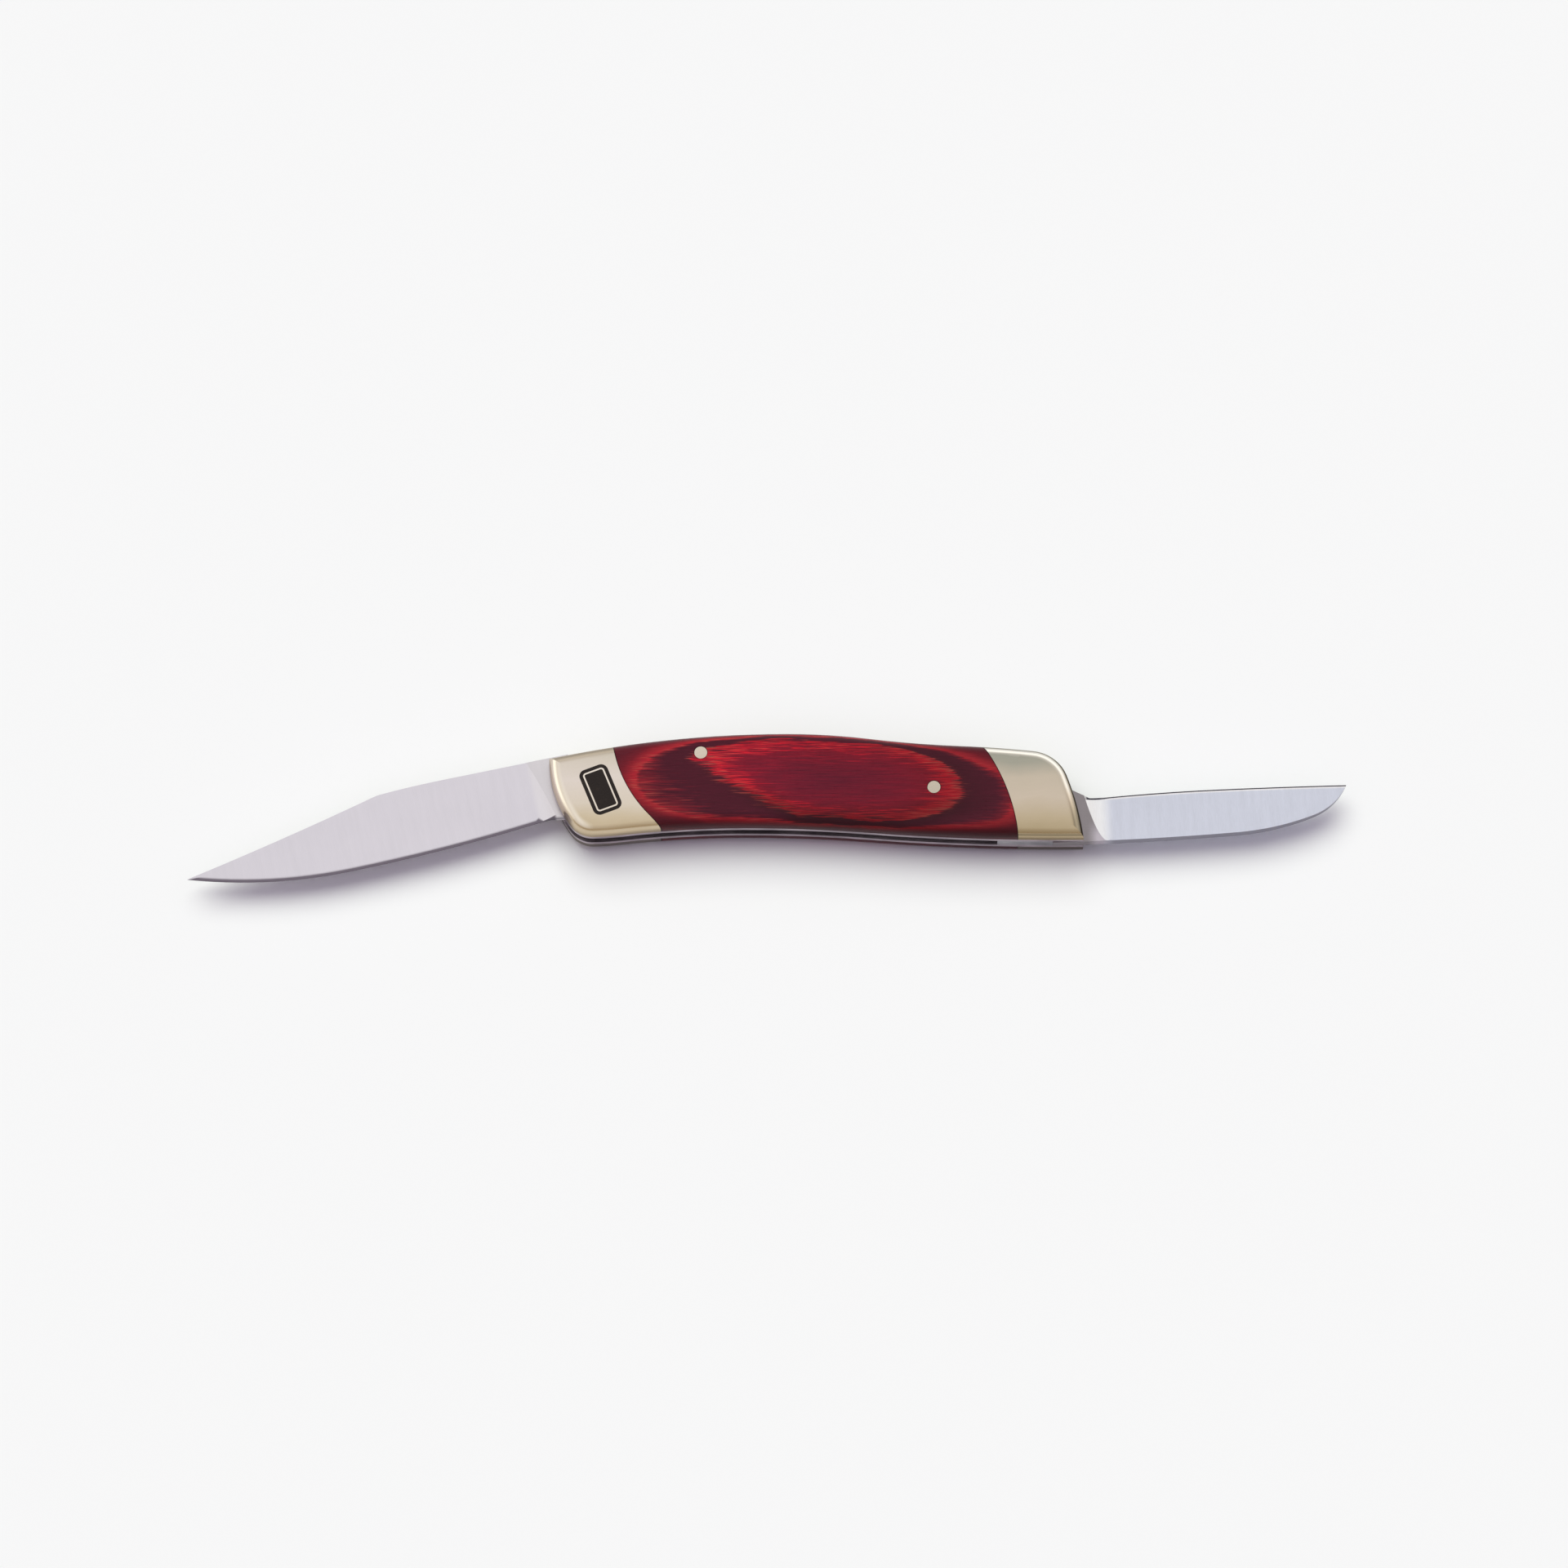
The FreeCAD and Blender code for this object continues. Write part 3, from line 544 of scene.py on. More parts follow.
@dataclass(frozen=True)
class LaminatedWood(Finish):
    """Dyed veneers pressed in layers; the shaped face cuts them into nested ovals.

    The veneers are counted from the centre of the inner oval: 1 on the inner oval, 2 on the outer
    one, and one more for each layer below the face. The count picks the red.
    """

    face_level: float
    outward: float
    inner: Oval
    outer: Oval
    seams: tuple[SeamLine, ...]
    layer: float = 1.6
    outskirts: float = 5.0
    wander_scale: float = 0.09
    wander_reach: Spot = (3.0, 1.2)
    broad: Grain = Grain(0.0, 7.0, 0.3, 3.0)
    fine: Grain = Grain(0.0, 4.5, 0.13, 2.0)
    hair: Grain = Grain(0.6, 2.2, 0.07, 1.0)
    fibre: Grain = Grain(0.4, 5.0, 0.16, 1.0)
    pore: Grain = Grain(0.0, 1.3, 0.05, 0.0)
    pore_step: Span = (0.66, 0.74)
    left_end: Span = (-24.0, -12.0)
    right_end: Span = (6.0, 18.0)
    calm_rim: Span = (0.7, 0.9)
    calm_broad: float = 0.65
    calm_fine: float = 0.4
    ragged_broad: float = 1.1
    ragged_fine: float = 0.8
    # Darker around the inner oval towards the bottom and the right end
    low_right_band: Band = (0.93, 0.45)
    low_right_dim: tuple[Patch, ...] = (
        Patch(0.58, below=(-4.5, 2.5)),
        Patch(0.34, right_of=(2.0, 24.0)),
    )
    # Outer band darker, towards the right end and the bottom
    outer_dim_from: Span = (1.92, 2.1)
    worn: tuple[Patch, ...] = (
        Patch(0.165, right_of=(5.0, 25.0), above=(-4.0, 0.5)),
        Patch(0.165, below=(-4.5, 2.5)),
        Patch(0.385, right_of=(8.0, 20.0), below=(-6.0, -3.0)),
    )
    # Painted shade on the rounded rims and sides, where the surface falls below the face
    rim_shade: Span = (0.3, 1.6)
    rim_shade_share: float = 0.12
    # Lighter towards the left end inside the inner oval
    left_lift: Patch = Patch(0.2, left_of=(-14.0, 4.0))
    left_lift_edge: Span = (0.9, 1.05)
    raw: Colour = tone(192, 88, 76)
    raw_share: float = 0.55
    raw_edges: tuple[Band, ...] = ((1.05, 0.28), (2.15, 0.3))
    raw_step: Span = (0.54, 0.68)
    raw_hidden: Patch = Patch(0.6, right_of=(-6.0, 8.0))
    thin_edge: Band = (1.0, 0.11)
    thin_step: Span = (0.44, 0.6)
    reds: Stops = (
        (0.00, tone(92, 14, 36)),
        (0.45, tone(103, 14, 35)),
        (0.80, tone(122, 13, 34)),
        (0.93, tone(190, 22, 38)),
        (1.00, tone(156, 17, 34)),
        (1.07, tone(80, 14, 30)),
        (1.20, tone(70, 14, 31)),
        (1.84, tone(70, 14, 31)),
        (2.00, tone(104, 18, 33)),
        (2.11, tone(166, 30, 42)),
        (2.28, tone(150, 28, 40)),
        (2.60, tone(108, 18, 32)),
        (3.00, tone(86, 17, 31)),
        (4.00, tone(82, 19, 30)),
        (4.40, tone(104, 24, 33)),
        (5.00, tone(84, 22, 30)),
    )

    def paint(self, bench: Bench) -> dict[str, Setting]:
        """Layers from their place and depth, with ragged fibre edges and a polished coat.

        Args:
            bench: Bench of the new material.

        Returns:
            Values and signals for the sockets of the surface shader.
        """
        place = bench.place()
        cut = self._cut(bench, place)
        broad = bench.streaks(place, self.broad)
        fine = bench.streaks(place, self.fine)
        hair = bench.streaks(place, self.hair)
        pores = bench.streaks(place, self.pore).rise(*self.pore_step)
        count = self._count(cut, broad, fine)
        raw = self._raw(cut, count, bench.streaks(place, self.fibre))
        red = bench.mix(raw * self.raw_share, bench.ramp(count, self.reds), self.raw)
        light = 0.6 + fine * 0.46 + broad * 0.34 + hair.swing(0.5)
        # Darker and lighter patches across the face, and painted shade on the rims below it
        light = light * self._age(cut, count)
        seam = reduce(Signal.most, [line.shadow(bench, place) for line in self.seams])
        return {
            "Base Color": bench.shade(red, light * (1 - pores * 0.2) * (1 - seam * 0.8)),
            "Roughness": 0.3 + fine.swing(0.14) + pores * 0.15,
            "Specular IOR Level": 0.12,
            "Coat Weight": 0.05 - pores * 0.03,
            "Coat Roughness": 0.14,
            "Normal": bench.bump(fine * 0.5 + hair * 0.3 - pores * 0.6, 0.008),
        }

    def _cut(self, bench: Bench, place: Signal) -> Cut:
        """Find where a spot lies; the ovals wander a little, as veneers do.

        Args:
            bench: Bench of the material.
            place: Coordinates in millimetres.

        Returns:
            The spot among the veneers.
        """
        inputs = {"Vector": place, "Scale": self.wander_scale, "Detail": 1.0}
        noise = bench.node("ShaderNodeTexNoise", None, inputs)
        reach = (*self.wander_reach, 0.0)
        back = tuple(-NOISE_MEAN * part for part in reach)
        shift = bench.vector("MULTIPLY_ADD", {0: bench.out(noise, 1), 1: reach, 2: back})
        moved = bench.vector("ADD", {0: place, 1: shift})
        along, across, height = bench.parts(place)
        depth = ((self.face_level - height) * self.outward).most(0.0)
        inside, outside = (oval.level(bench, moved) for oval in (self.inner, self.outer))
        return Cut(along, across, depth, inside, outside)

    def _count(self, cut: Cut, broad: Signal, fine: Signal) -> Signal:
        """Count the veneers; their ragged edges are calmer at the far left and the right end.

        Args:
            cut: The spot among the veneers.
            broad: Broad streaks.
            fine: Fine streaks.

        Returns:
            The count.
        """
        past = (cut.inside - 1).most(0.0)
        short = (1 - cut.outside).most(0.0)
        beyond = (cut.outside - 1).most(0.0)
        between = past / (past + short + NEXT_TO_NOTHING)
        ring = cut.inside.least(1.0) + between + beyond * self.outskirts
        far_left = (1 - cut.along.rise(*self.left_end)) * cut.outside.rise(*self.calm_rim)
        calm = far_left.most(cut.along.rise(*self.right_end))
        torn = broad.swing(1 - calm * self.calm_broad) * self.ragged_broad
        frayed = fine.swing(1 - calm * self.calm_fine) * self.ragged_fine
        return ring + cut.depth / self.layer + (torn + frayed)

    def _raw(self, cut: Cut, count: Signal, fibre: Signal) -> Signal:
        """Undyed fibre ends along the edges of the veneers.

        Args:
            cut: The spot among the veneers.
            count: Count of the veneers.
            fibre: Streaks of fibre.

        Returns:
            Share of undyed wood.
        """
        edges = reduce(Signal.most, [count.around(*edge) for edge in self.raw_edges])
        open_grain = edges * (1 - self.raw_hidden.share(cut.along, cut.across))
        thin = count.around(*self.thin_edge) * cut.along.rise(*self.right_end)
        return (open_grain * fibre.rise(*self.raw_step)).most(thin * fibre.rise(*self.thin_step))

    def _age(self, cut: Cut, count: Signal) -> Signal:
        """Light of the wood: darker around the inner oval towards the bottom and the right end and in
        the outer band there, lighter towards the left end inside the inner oval, and painted shade on
        the rounded rims and sides below the face.

        Args:
            cut: The spot among the veneers.
            count: Count of the veneers.

        Returns:
            Factor on the light, 1 on plain wood.
        """
        # Darker around the inner oval towards the bottom and the right end
        low_right_dim = cut.inside.around(*self.low_right_band) * cut.strongest(self.low_right_dim)
        # Outer band darker towards the right end and the bottom
        worn = count.rise(*self.outer_dim_from) * cut.strongest(self.worn)
        # Painted shade on the rounded rims and sides below the face
        rim_shade = cut.depth.rise(*self.rim_shade) * self.rim_shade_share
        # Lighter towards the left end inside the inner oval
        left_lift = cut.strongest((self.left_lift,)) * (1 - cut.inside.rise(*self.left_lift_edge))
        return (1 - low_right_dim) * (1 - worn) * (1 - rim_shade) * (1 + left_lift)


@dataclass(frozen=True)
class NickelSilver(Finish):
    """Warm pale metal, buffed: bands across the face that are a painted reflection, a painted
    highlight on the polished rims, and duller edges.

    Levels are heights above the middle of the handle. A rim takes the painted highlight or a
    painted shade where it faces the way given, right and up, and an edge is the side of the piece
    below its rim, coloured with a painted reflection.
    """

    # Colour bands across the face: a painted reflection
    bands: Stops
    cloud: Grain = Grain(25.0, 8.0, 6.0, 2.0, (3.0, 1.0))
    cloud_shift: float = 3.0
    hairlines: tuple[Grain, ...] = (
        Grain(12.0, 5.0, 0.06, 1.0),
        Grain(-38.0, 3.5, 0.05, 1.0),
        Grain(74.0, 3.0, 0.05, 1.0),
    )
    hair_step: Span = (0.60, 0.72)
    buff: Grain = Grain(18.0, 3.0, 0.12, 2.0)
    dull: Colour = tone(196, 182, 162)
    dull_share: float = 0.45
    dull_level: Span = (2.0, 4.3)
    # Painted highlight: lighter polished colour on the rims that face the way given
    polished: Colour = tone(242, 232, 216)
    highlight_from: Spot = (-0.9, -0.3)
    highlight_turn: Span = (0.08, 0.45)
    highlight_above: Span = BELOW_ALL
    highlight_level: Span = (3.8, 4.1)
    # Painted shade: darker colour on the rims that face the way given
    painted_shade: float = 0.0
    shade_from: Spot = (0.0, 1.0)
    shade_turn: Span = (0.15, 0.4)
    shade_below: Span = ABOVE_ALL
    shade_level: Span = (4.4, 4.6)
    shade_tone: Colour = tone(156, 144, 128)
    # Painted reflection on the side below the rim
    edge: Colour = tone(220, 205, 189)
    side_reflection_from: Spot = (-1.0, 1.0)
    side_reflection_turn: Span = (-0.1, 0.35)
    side_reflection_level: Span = (3.5, 3.9)
    edge_tint: Colour = (0.7, 0.68, 0.64)
    # Tone of the painted shade on the lower rim of the rear bolsters
    rim_shade_tone: Colour = tone(122, 117, 120)
    underside: Span = (-0.5, -0.1)
    # Painted dark reflection along the rounded lower rim that faces the front
    front_rim_reflection: float = 0.2
    front_rim_reflection_level: Band = (3.36, 0.4)
    gloss: float = 0.15

    def paint(self, bench: Bench) -> dict[str, Setting]:
        """Painted reflection in bands across the face, rims from their height, hairlines three ways.

        Args:
            bench: Bench of the new material.

        Returns:
            Values and signals for the sockets of the surface shader.
        """
        place = bench.place()
        cloud = bench.streaks(place, self.cloud)
        buff = bench.streaks(place, self.buff)
        lines = [bench.streaks(place, grain).rise(*self.hair_step) for grain in self.hairlines]
        hairs = reduce(Signal.most, lines)
        # Face colour in bands across the handle: a painted reflection
        face = bench.ramp(bench.parts(place)[1] + cloud.swing(self.cloud_shift), self.bands)
        light = METAL_LIGHT + buff.swing(0.05) + hairs * 0.03
        return {
            "Base Color": bench.shade(self._rims(bench, place, face), light),
            "Metallic": 1.0,
            "Specular Tint": (*self.edge_tint, 1.0),
            "Roughness": self.gloss + cloud.swing(0.06) + buff.swing(0.06) + hairs * 0.05,
            "Normal": bench.bump(buff * 0.4 - hairs * 0.4, 0.0015),
        }

    def with_shaded_rim(self, name: str) -> "NickelSilver":
        """The same metal, with painted shade along its whole lower rim.

        Args:
            name: Name of the new finish.

        Returns:
            The new finish.
        """
        down = (0.0, -1.0)
        return replace(
            self, name=name, painted_shade=0.85, shade_from=down, shade_below=ABOVE_ALL, shade_tone=self.rim_shade_tone
        )

    def _rims(self, bench: Bench, place: Signal, colour: Signal) -> Signal:
        """Painted highlight, painted shade, painted reflections and duller colour of the rounded
        rims.

        Args:
            bench: Bench of the material.
            place: Coordinates in millimetres.
            colour: Colour of the face.

        Returns:
            The colour with its rims.
        """
        _, across, height = bench.parts(place)
        level = abs(height - MID_PLANE)
        right, up, _ = bench.facing()
        highlight, painted_shade, side = (
            (right * way[0] + up * way[1]).rise(*turn)
            for way, turn in (
                (self.highlight_from, self.highlight_turn),
                (self.shade_from, self.shade_turn),
                (self.side_reflection_from, self.side_reflection_turn),
            )
        )
        # Painted highlight on the polished rim band
        highlight = highlight * level.rise(*self.highlight_level) * across.rise(*self.highlight_above)
        # Painted shade on the rims that face the given way
        painted_shade = painted_shade * (1 - level.rise(*self.shade_level)) * (1 - across.rise(*self.shade_below))
        free = up.rise(*self.underside)
        # Painted reflection on the side below the rim
        edge = (1 - level.rise(*self.side_reflection_level)) * free * side
        # Painted dark reflection along the front lower rim
        rim_reflection = level.around(*self.front_rim_reflection_level) * (1 - free) * self.front_rim_reflection
        colour = bench.mix((1 - level.rise(*self.dull_level)) * self.dull_share, colour, self.dull)
        colour = bench.mix(painted_shade * self.painted_shade, colour, self.shade_tone)
        colour = bench.mix(highlight, colour, self.polished)
        return bench.mix(edge.most(rim_reflection), colour, self.edge)


@dataclass(frozen=True)
class SatinSteel(Finish):
    """Plain satin steel with lines along one direction, for the liners and the spring."""

    clean: Colour
    dull: Colour
    lines: Grain = Grain(0.0, 12.0, 0.09, 3.0)
    cloud: Grain = Grain(0.0, 6.0, 3.0, 3.0)
    cloud_step: Span = (0.35, 0.7)
    speck: Grain = Grain(0.0, 0.3, 0.3, 1.0)
    speck_step: Span = (0.68, 0.8)
    gloss: float = 0.36

    def paint(self, bench: Bench) -> dict[str, Setting]:
        """Long draw lines, cloudy wear.

        Args:
            bench: Bench of the new material.

        Returns:
            Values and signals for the sockets of the surface shader.
        """
        place = bench.place()
        lines = bench.streaks(place, self.lines)
        cloud = bench.streaks(place, self.cloud).rise(*self.cloud_step)
        specks = bench.streaks(place, self.speck).rise(*self.speck_step)
        light = 0.9 + lines.swing(0.3) - specks * 0.2
        return {
            "Base Color": bench.shade(bench.mix(cloud, self.clean, self.dull), light),
            "Metallic": 1.0,
            "Roughness": self.gloss + lines.swing(0.2) + specks * 0.15,
            "Normal": bench.bump(lines, 0.006),
        }


@dataclass(frozen=True)
class BladeSteel(Finish):
    """Ground blade steel: fine lines across the ground face, drawn lines along the tang.

    Places are counted from the pivot, along the blade and across it towards its edge. Levels are
    heights above the middle of the blade, and a blur is where a soft border starts and ends. The
    run-out, bevel, edge line and sides carry painted highlight, painted reflection and painted shade.
    """

    pivot: Spot
    lean: float
    plunge: float
    edge_side: float
    ground: Colour
    # Painted highlight on the hollow run-out
    runout_highlight: Colour
    tang: Colour
    heel: Colour
    # Painted reflection on the edge bevel
    bevel: Colour
    # Painted shade line along the very edge
    rim: Colour
    shade_line_level: float
    # Painted shade on the blade's vertical sides
    side_shade: Colour
    lip: Trim
    lead: float = 0.7
    fade: float = 0.5
    line_depth: float = 0.5
    flat_level: float = 0.825
    flat_blur: Span = (-0.02, -0.002)
    bevel_level: float = 0.15
    bevel_blur: Span = (-0.01, 0.02)
    shade_line_blur: Span = (-0.015, 0.015)
    edge_blur: Span = (-0.1, 0.1)
    lip_step: Span = (0.92, 1.04)
    lip_start: Span = (-3.2, -2.6)
    heel_along: Span = (7.4, 9.6)
    heel_below: Span = (-8.0, -4.5)
    broadside: Span = (0.3, 0.6)
    cross: Grain = Grain(90.0, 9.0, 0.1, 3.0)
    bands: Grain = Grain(90.0, 14.0, 0.9, 2.0)
    drawn: Grain = Grain(0.0, 6.0, 0.08, 3.0)
    cloud: Grain = Grain(0.0, 12.0, 7.0, 2.0)
    hair: Grain = Grain(63.0, 5.0, 0.05, 1.0)
    hair_step: Span = (0.64, 0.74)

    def paint(self, bench: Bench) -> dict[str, Setting]:
        """Flat tang, hollow run-out, ground face and edge, told apart by their height.

        Args:
            bench: Bench of the new material.

        Returns:
            Values and signals for the sockets of the surface shader.
        """
        place = bench.place()
        own = bench.fitted(place, self.pivot, self.lean, (1.0, 1.0))
        along, across, _ = bench.parts(own)
        level = abs(bench.parts(place)[2] - MID_PLANE)
        broadside = abs(bench.facing()[2]).rise(*self.broadside)
        root = 1 - along.past(self.plunge, (-self.lead, self.fade))
        hollow = root * (1 - level.past(self.flat_level, self.flat_blur)) * broadside
        blade = 1 - root + hollow
        heel = along.rise(*self.heel_along) * (1 - across.rise(*self.heel_below))
        sharp = across.past(self.edge_side, self.edge_blur)
        bevel = sharp * (1 - level.past(self.bevel_level, self.bevel_blur))
        rim = sharp * (1 - level.past(self.shade_line_level, self.shade_line_blur))
        lip = 1 - self.lip.level(bench, own).rise(*self.lip_step)
        rim = rim.most(lip * along.past(self.plunge, self.lip_start) * root)
        # Painted highlight on the hollow run-out
        colour = bench.mix(hollow, self.ground, self.runout_highlight)
        colour = bench.mix(1 - blade, colour, bench.mix(heel, self.tang, self.heel))
        # Painted shade on the blade's vertical sides
        colour = bench.mix((1 - root) * (1 - broadside), colour, self.side_shade)
        # Painted reflection on the edge bevel and painted shade line along the very edge
        colour = bench.mix(rim, bench.mix(bevel, colour, self.bevel), self.rim)
        cross, bands, drawn, cloud, hair = (
            bench.streaks(own, grain)
            for grain in (self.cross, self.bands, self.drawn, self.cloud, self.hair)
        )
        lines = cross * blade + drawn * (1 - blade)
        light = METAL_LIGHT + (lines.swing(0.16) + bands.swing(0.14)) * self.line_depth
        light = light + cloud.swing(0.06) + hair.rise(*self.hair_step) * 0.03
        return {
            "Base Color": bench.shade(colour, light),
            "Metallic": 1.0,
            "Roughness": 0.33 + lines.swing(0.14) + cloud.swing(0.08) - (1 - blade) * 0.03,
            "Normal": bench.bump(lines, 0.004),
        }


@dataclass(frozen=True)
class DarkEnamel(Finish):
    """Nearly black enamel fill with a slight orange-peel and dust-fine scratches."""

    fill: Colour = tone(30, 22, 19)
    worn: Colour = tone(48, 38, 33)
    peel: Grain = Grain(0.0, 0.35, 0.35, 2.0)
    rub: Grain = Grain(-40.0, 2.5, 0.06, 2.0)
    rub_step: Span = (0.6, 0.78)
    cloud: Grain = Grain(0.0, 2.0, 1.4, 2.0)
    cloud_step: Span = (0.5, 0.8)

    def paint(self, bench: Bench) -> dict[str, Setting]:
        """Dark fill, lighter where it is rubbed.

        Args:
            bench: Bench of the new material.

        Returns:
            Values and signals for the sockets of the surface shader.
        """
        place = bench.place()
        peel = bench.streaks(place, self.peel)
        rub = bench.streaks(place, self.rub).rise(*self.rub_step)
        cloud = bench.streaks(place, self.cloud).rise(*self.cloud_step)
        return {
            "Base Color": bench.mix((rub * 0.5 + cloud * 0.4).least(1.0), self.fill, self.worn),
            "Roughness": 0.28 + peel.swing(0.2) + rub * 0.15,
            "Specular IOR Level": 0.2,
            "Normal": bench.bump(peel, 0.006),
        }


@dataclass(frozen=True)
class PaleFloor(Finish):
    """Matt pale sheet under the knife."""

    sheet: Colour = PALE
    shaded: float = 0.997
    cloud: Grain = Grain(0.0, 60.0, 60.0, 2.0)

    def paint(self, bench: Bench) -> dict[str, Setting]:
        """Barely clouded paper.

        Args:
            bench: Bench of the new material.

        Returns:
            Values and signals for the sockets of the surface shader.
        """
        cloud = bench.streaks(bench.place(), self.cloud)
        colour = bench.mix(cloud, self.sheet, tuple(self.shaded * part for part in self.sheet))
        return {"Base Color": colour, "Roughness": 0.9, "Specular IOR Level": 0.0}


def put_in_scene(name: str, data: bpy.types.ID) -> bpy.types.Object:
    """Make an object and put it into the scene.

    Args:
        name: Its name.
        data: Its mesh, lamp or camera.

    Returns:
        The object.
    """
    made = bpy.data.objects.new(name, data)
    bpy.context.scene.collection.objects.link(made)
    return made


def put_mesh_in_scene(name: str, mesh: bmesh.types.BMesh) -> bpy.types.Object:
    """Make an object of a finished bmesh, which is freed.

    Args:
        name: Its name.
        mesh: Its shape.

    Returns:
        The object.
    """
    data = bpy.data.meshes.new(name)
    mesh.to_mesh(data)
    mesh.free()
    return put_in_scene(name, data)


SEAMS = (
    SeamLine((-11.33, 11.49), 23.97, End.CLIP),
    SeamLine((-1.0, -12.19), 35.97, End.PEN),
)


@dataclass
class Covers:
    """Wood scales and metal bolsters on both sides of the handle; each wood has its own veneers."""

    front_wood: LaminatedWood = LaminatedWood(
        "front_wood_polished",
        THICKNESS,
        1.0,
        Oval((3.0, 1.45), (22.0, 7.25), -4.0, 2.4, 1.15, Trim((-13.0, 0.1), -29.8, 7.0)),
        Oval((0.56, 1.2), (33.0, 8.75), -1.2, 2.36, 0.92, droop=0.3),
        SEAMS,
    )
    rear_wood: LaminatedWood = LaminatedWood(
        "rear_wood_polished",
        0.0,
        -1.0,
        Oval((-4.5, 1.2), (20.5, 6.0), 3.0, 2.2),
        Oval((-1.5, 1.5), (28.0, 8.8), -2.0, 2.4),
        SEAMS,
    )
    # Bands across the face: a painted reflection, darker towards both long sides
    clip_metal: NickelSilver = NickelSilver(
        "clip_bolster_buffed",
        (
            (-8.0, tone(192, 172, 138)),
            (-5.5, tone(208, 191, 163)),
            (-3.0, tone(220, 207, 190)),
            (2.0, tone(226, 214, 204)),
            (6.0, tone(214, 203, 188)),
            (9.0, tone(190, 182, 164)),
        ),
        # Painted shade on the top rim
        painted_shade=0.8,
    )
    # Bands across the face: a painted reflection, darker towards both long sides and greener at the
    # top
    pen_metal: NickelSilver = NickelSilver(
        "pen_bolster_buffed",
        (
            (-8.0, tone(178, 160, 128)),
            (-5.5, tone(192, 175, 146)),
            (-2.0, tone(206, 191, 172)),
            (2.0, tone(200, 187, 168)),
            (5.0, tone(168, 165, 150)),
            (9.0, tone(158, 158, 146)),
        ),
        dull=tone(176, 160, 134),
        # Painted highlight on the top and upper right rim
        polished=tone(240, 236, 228),
        highlight_from=(0.3, 0.95),
        highlight_above=(-2.5, 1.0),
        # Painted shade on the lower part of the right end
        painted_shade=0.7,
        shade_from=(1.0, 0.0),
        shade_below=(-6.5, -0.5),
        shade_tone=tone(128, 120, 106),
        # Painted dark reflection on the outer side of the rim
        edge=tone(42, 37, 32),
        side_reflection_from=(1.0, -0.6),
        edge_tint=(0.56, 0.54, 0.5),
        # Stronger painted dark reflection along the front lower rim
        front_rim_reflection=0.5,
    )

    def dress(self, nodes: dict[str, bpy.types.Object]) -> None:
        """Finish the four bolsters and two scales.

        Args:
            nodes: CAD nodes by name.
        """
        woods = {Side.FRONT: self.front_wood, Side.REAR: self.rear_wood}
        metals = {End.CLIP: self.clip_metal, End.PEN: self.pen_metal}
        for side, wood in woods.items():
            wood.dress(nodes[f"{side.value}_scale"])
            for end, metal in metals.items():
                # Rear bolsters take painted shade along their lower rim
                finish = metal if side is Side.FRONT else metal.with_shaded_rim(f"rear_{metal.name}")
                finish.dress(nodes[f"{side.value}_{end.value}_bolster"])


@dataclass
class Core:
    """Liners, back spring, pins and rivets."""

    # The pinkish tint of both liner colours is a painted reflection of the lavender floor shadow
    liner: SatinSteel = SatinSteel("liner_metal_satin", tone(200, 188, 195), tone(164, 153, 160))
    spring: SatinSteel = SatinSteel(
        "spring_steel_satin",
        tone(188, 187, 190),
        tone(146, 145, 149),
        lines=Grain(2.0, 12.0, 0.09, 3.0),
        gloss=0.3,
    )
    pin: NickelSilver = NickelSilver(
        "pin_metal_burnished", ((0.0, tone(196, 185, 168)), (6.6, tone(214, 202, 184)))
    )

    def dress(self, nodes: dict[str, bpy.types.Object]) -> None:
        """Finish the inner pieces.

        Args:
            nodes: CAD nodes by name.
        """
        for side in Side:
            self.liner.dress(nodes[f"{side.value}_liner"])
            for end in End:
                self.pin.dress(nodes[f"{side.value}_{end.value}_rivets"])
        self.spring.dress(nodes["back_spring"])
        for name in ("clip_pivot_pin", "pen_pivot_pin", "upper_scale_pin", "lower_scale_pin"):
            self.pin.dress(nodes[name])


@dataclass
class Blades:
    """The two blades."""

    clip: BladeSteel = BladeSteel(
        "clip_steel_ground",
        pivot=(-39.5, 0.0),
        lean=192.5,
        plunge=9.0,
        edge_side=0.0,
        ground=tone(219, 214, 221),
        # Painted highlight on the run-out
        runout_highlight=tone(226, 221, 225),
        tang=tone(216, 211, 214),
        heel=tone(216, 211, 214),
        # Dark painted reflection on the bevel and painted shade line at the edge
        bevel=tone(118, 110, 120),
        rim=tone(108, 100, 110),
        shade_line_level=0.05,
        # Painted shade on the sides
        side_shade=tone(200, 195, 202),
        lip=Trim((6.9, 2.35), 9.5, 1.0),
    )
    pen: BladeSteel = BladeSteel(
        "pen_steel_ground",
        pivot=(38.8, 0.0),
        lean=2.74,
        plunge=10.6,
        edge_side=-1.2,
        ground=tone(211, 214, 227),
        # Painted highlight on the run-out
        runout_highlight=tone(243, 243, 245),
        tang=tone(142, 135, 137),
        heel=tone(192, 184, 192),
        # Bright painted reflection on the bevel and painted shade line at the edge
        bevel=tone(240, 240, 244),
        rim=tone(74, 71, 80),
        shade_line_level=0.09,
        # Painted shade on the sides
        side_shade=tone(148, 146, 157),
        lip=Trim((8.3, -1.0), 3.26, 1.0),
        fade=1.9,
        line_depth=1.0,
    )

    def dress(self, nodes: dict[str, bpy.types.Object]) -> None:
        """Finish both blades.

        Args:
            nodes: CAD nodes by name.
        """
        self.clip.dress(nodes["clip_blade"])
        self.pen.dress(nodes["pen_blade"])


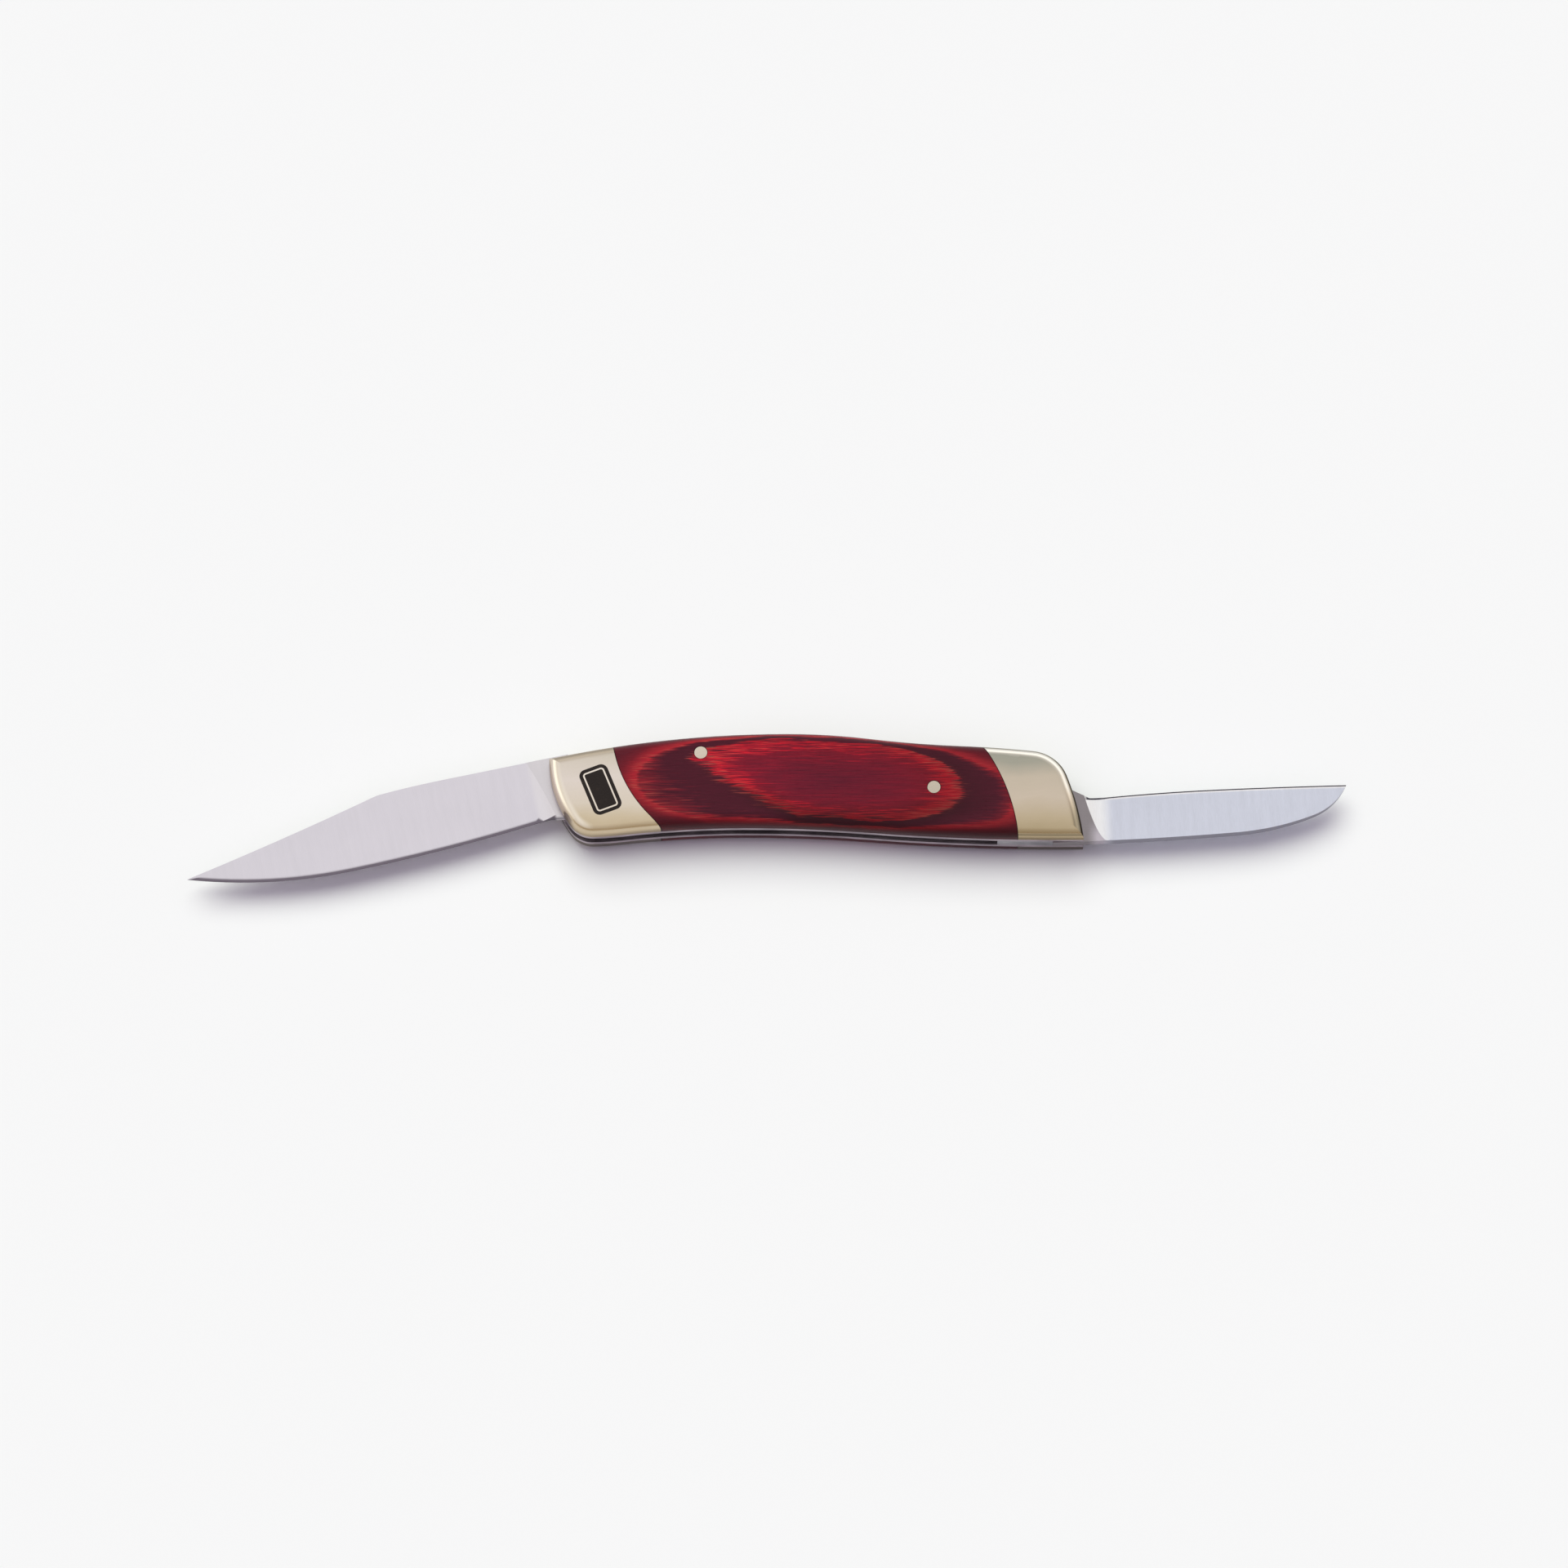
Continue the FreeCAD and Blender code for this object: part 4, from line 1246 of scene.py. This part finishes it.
@dataclass
class Plaque:
    """Dark plaque in the front bolster, with a thin metal line let into its face."""

    centre: Spot = (-37.16, -0.3)
    lean: float = 21.5
    length: float = 8.8
    width: float = 5.1
    corner: float = 1.2
    corner_steps: int = 8
    inset: float = 0.62
    wire: float = 0.27
    proud: float = 0.02
    enamel: DarkEnamel = DarkEnamel("plaque_enamel_dark")
    metal: NickelSilver = NickelSilver(
        "plaque_line_metal", ((-6.0, tone(226, 214, 198)), (5.0, tone(236, 226, 214)))
    )

    def build(self) -> bpy.types.Object:
        """Model the metal line as a thin closed band, half of it let in.

        Returns:
            The new piece, riding on the handle.
        """
        mesh = bmesh.new()
        bmesh.ops.create_grid(mesh, x_segments=1, y_segments=1, size=0.5)
        size = ((self.length - 2 * self.inset) * MM, (self.width - 2 * self.inset) * MM, 1.0)
        bmesh.ops.scale(mesh, verts=mesh.verts, vec=size)
        bmesh.ops.bevel(
            mesh,
            geom=mesh.verts[:],
            offset=(self.corner - self.inset) * MM,
            offset_type="OFFSET",
            affect="VERTICES",
            segments=self.corner_steps,
            profile=0.5,
            material=-1,
        )
        middle = mesh.faces[:]
        bmesh.ops.inset_region(
            mesh, faces=middle, thickness=self.wire * MM, use_boundary=True, use_even_offset=True
        )
        bmesh.ops.delete(mesh, geom=middle, context="FACES")
        raised = bmesh.ops.extrude_face_region(mesh, geom=mesh.faces[:])
        lifted = [item for item in raised["geom"] if isinstance(item, bmesh.types.BMVert)]
        bmesh.ops.translate(mesh, verts=lifted, vec=(0.0, 0.0, 2 * self.proud * MM))
        bmesh.ops.recalc_face_normals(mesh, faces=mesh.faces)
        turn = Matrix.Rotation(math.radians(self.lean - 90), 4, "Z")
        spot = Vector((self.centre[0] * MM, self.centre[1] * MM, (THICKNESS - self.proud) * MM))
        bmesh.ops.transform(mesh, matrix=Matrix.Translation(spot) @ turn, verts=mesh.verts)
        piece = put_mesh_in_scene("plaque_line", mesh)
        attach(piece, "handle")
        return piece

    def dress(self, nodes: dict[str, bpy.types.Object], line: bpy.types.Object) -> None:
        """Finish the plaque and its line.

        Args:
            nodes: CAD nodes by name.
            line: The metal line.
        """
        self.enamel.dress(nodes["bolster_plaque"])
        self.metal.dress(line)


@dataclass
class Studio:
    """Floor, light and camera; the floor's half width is in metres, its drop in millimetres."""

    aim: Vector = field(default_factory=lambda: Vector((-5.54, 2.59, MID_PLANE)) * MM)
    view_width: float = 270.8
    elevation: float = 68.0
    lens: float = 280.0
    sensor: float = 36.0
    near: float = 0.01
    floor_half: float = 4.0
    floor_drop: float = 0.05
    backdrop: Colour = PALE
    dome: Stops = (
        (0.00, (0.60, 0.53, 0.46)),
        (0.25, (0.63, 0.57, 0.50)),
        (0.50, (0.74, 0.70, 0.66)),
        (0.70, (0.88, 0.86, 0.84)),
        (0.85, (0.97, 0.97, 0.97)),
        (1.00, (0.97, 0.97, 0.97)),
    )
    screens: Colour = (1.3, 1.28, 1.23)
    screen_foot: Span = (-0.02, 0.06)
    screen_head: Span = (0.35, 0.6)
    screen_side: Span = (-0.35, 0.05)
    fill: Colour = (0.42, 0.375, 0.46)
    fill_gain: float = 1.283
    fill_rise: Span = (0.15, 0.75)
    key: Colour = (0.58, 0.625, 0.54)
    key_from: tuple[float, float] = (-18.0, 63.0)
    key_spread: float = 56.0

    def build(self) -> None:
        """Set up the whole studio."""
        self._floor()
        self._sky()
        self._key()
        self._camera()
        bpy.context.scene.view_settings.view_transform = "Standard"

    def _floor(self) -> None:
        """Pale sheet just under the knife."""
        mesh = bmesh.new()
        bmesh.ops.create_grid(mesh, x_segments=2, y_segments=2, size=self.floor_half)
        bmesh.ops.translate(mesh, verts=mesh.verts, vec=(0.0, 0.0, -self.floor_drop * MM))
        floor = put_mesh_in_scene("floor", mesh)
        PaleFloor("floor_paper").dress(floor)

    def _sky(self) -> None:
        """Surroundings: fill from above, pale backdrop, and dome with screens for metal to mirror."""
        world = bpy.data.worlds.new("studio_sky")
        bpy.context.scene.world = world
        world.use_nodes = True
        bench = Bench(world.node_tree)
        direction = bench.out(bench.node("ShaderNodeTexCoord"), "Generated")
        _, across, height = bench.parts(direction)
        dome = bench.ramp(height.most(0.0), self.dome)
        ring = height.rise(*self.screen_foot) * (1 - height.rise(*self.screen_head))
        dome = bench.mix(ring * across.rise(*self.screen_side), dome, self.screens)
        path = bench.node("ShaderNodeLightPath")
        mirrored = bench.out(path, "Is Glossy Ray").most(bench.out(path, "Is Transmission Ray"))
        zenith = tuple(part * self.fill_gain for part in self.fill)
        overhead = bench.mix(height.rise(*self.fill_rise), BLACK, zenith)
        colour = bench.mix(mirrored, overhead, dome)
        colour = bench.mix(bench.out(path, "Is Camera Ray"), colour, self.backdrop)
        glow = bench.node("ShaderNodeBackground", None, {"Color": colour, "Strength": 1.0})
        bench.node("ShaderNodeOutputWorld", None, {"Surface": bench.out(glow)})

    def _key(self) -> None:
        """Broad soft lamp from behind the knife, left out of the mirrored surroundings."""
        turn, rise = (math.radians(angle) for angle in self.key_from)
        peak = max(self.key)
        lamp = bpy.data.lights.new("key", "SUN")
        lamp.energy = peak * math.pi / math.sin(rise)
        lamp.angle = math.radians(self.key_spread)
        lamp.color = tuple(part / peak for part in self.key)
        key = put_in_scene("key", lamp)
        key.visible_glossy = False
        flat = math.cos(rise)
        source = Vector((math.sin(turn) * flat, math.cos(turn) * flat, math.sin(rise)))
        key.rotation_mode = "QUATERNION"
        key.rotation_quaternion = source.to_track_quat("Z", "Y")

    def _camera(self) -> None:
        """Camera at the photograph's angle."""
        data = bpy.data.cameras.new("camera")
        data.lens = self.lens
        data.sensor_width = self.sensor
        data.clip_start = self.near
        camera = put_in_scene("camera", data)
        lift = math.radians(self.elevation)
        back = Vector((0.0, -math.cos(lift), math.sin(lift)))
        camera.location = self.aim + back * (self.view_width * MM * self.lens / self.sensor)
        camera.rotation_mode = "QUATERNION"
        camera.rotation_quaternion = (-back).to_track_quat("-Z", "Y")
        bpy.context.scene.camera = camera


def main() -> None:
    """Dress the knife piece by piece, then light it."""
    logging.basicConfig(level=logging.INFO, format="%(name)s %(message)s")
    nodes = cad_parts
    Covers().dress(nodes)
    Core().dress(nodes)
    Blades().dress(nodes)
    plaque = Plaque()
    plaque.dress(nodes, plaque.build())
    Studio().build()


if __name__ == "__main__":
    main()
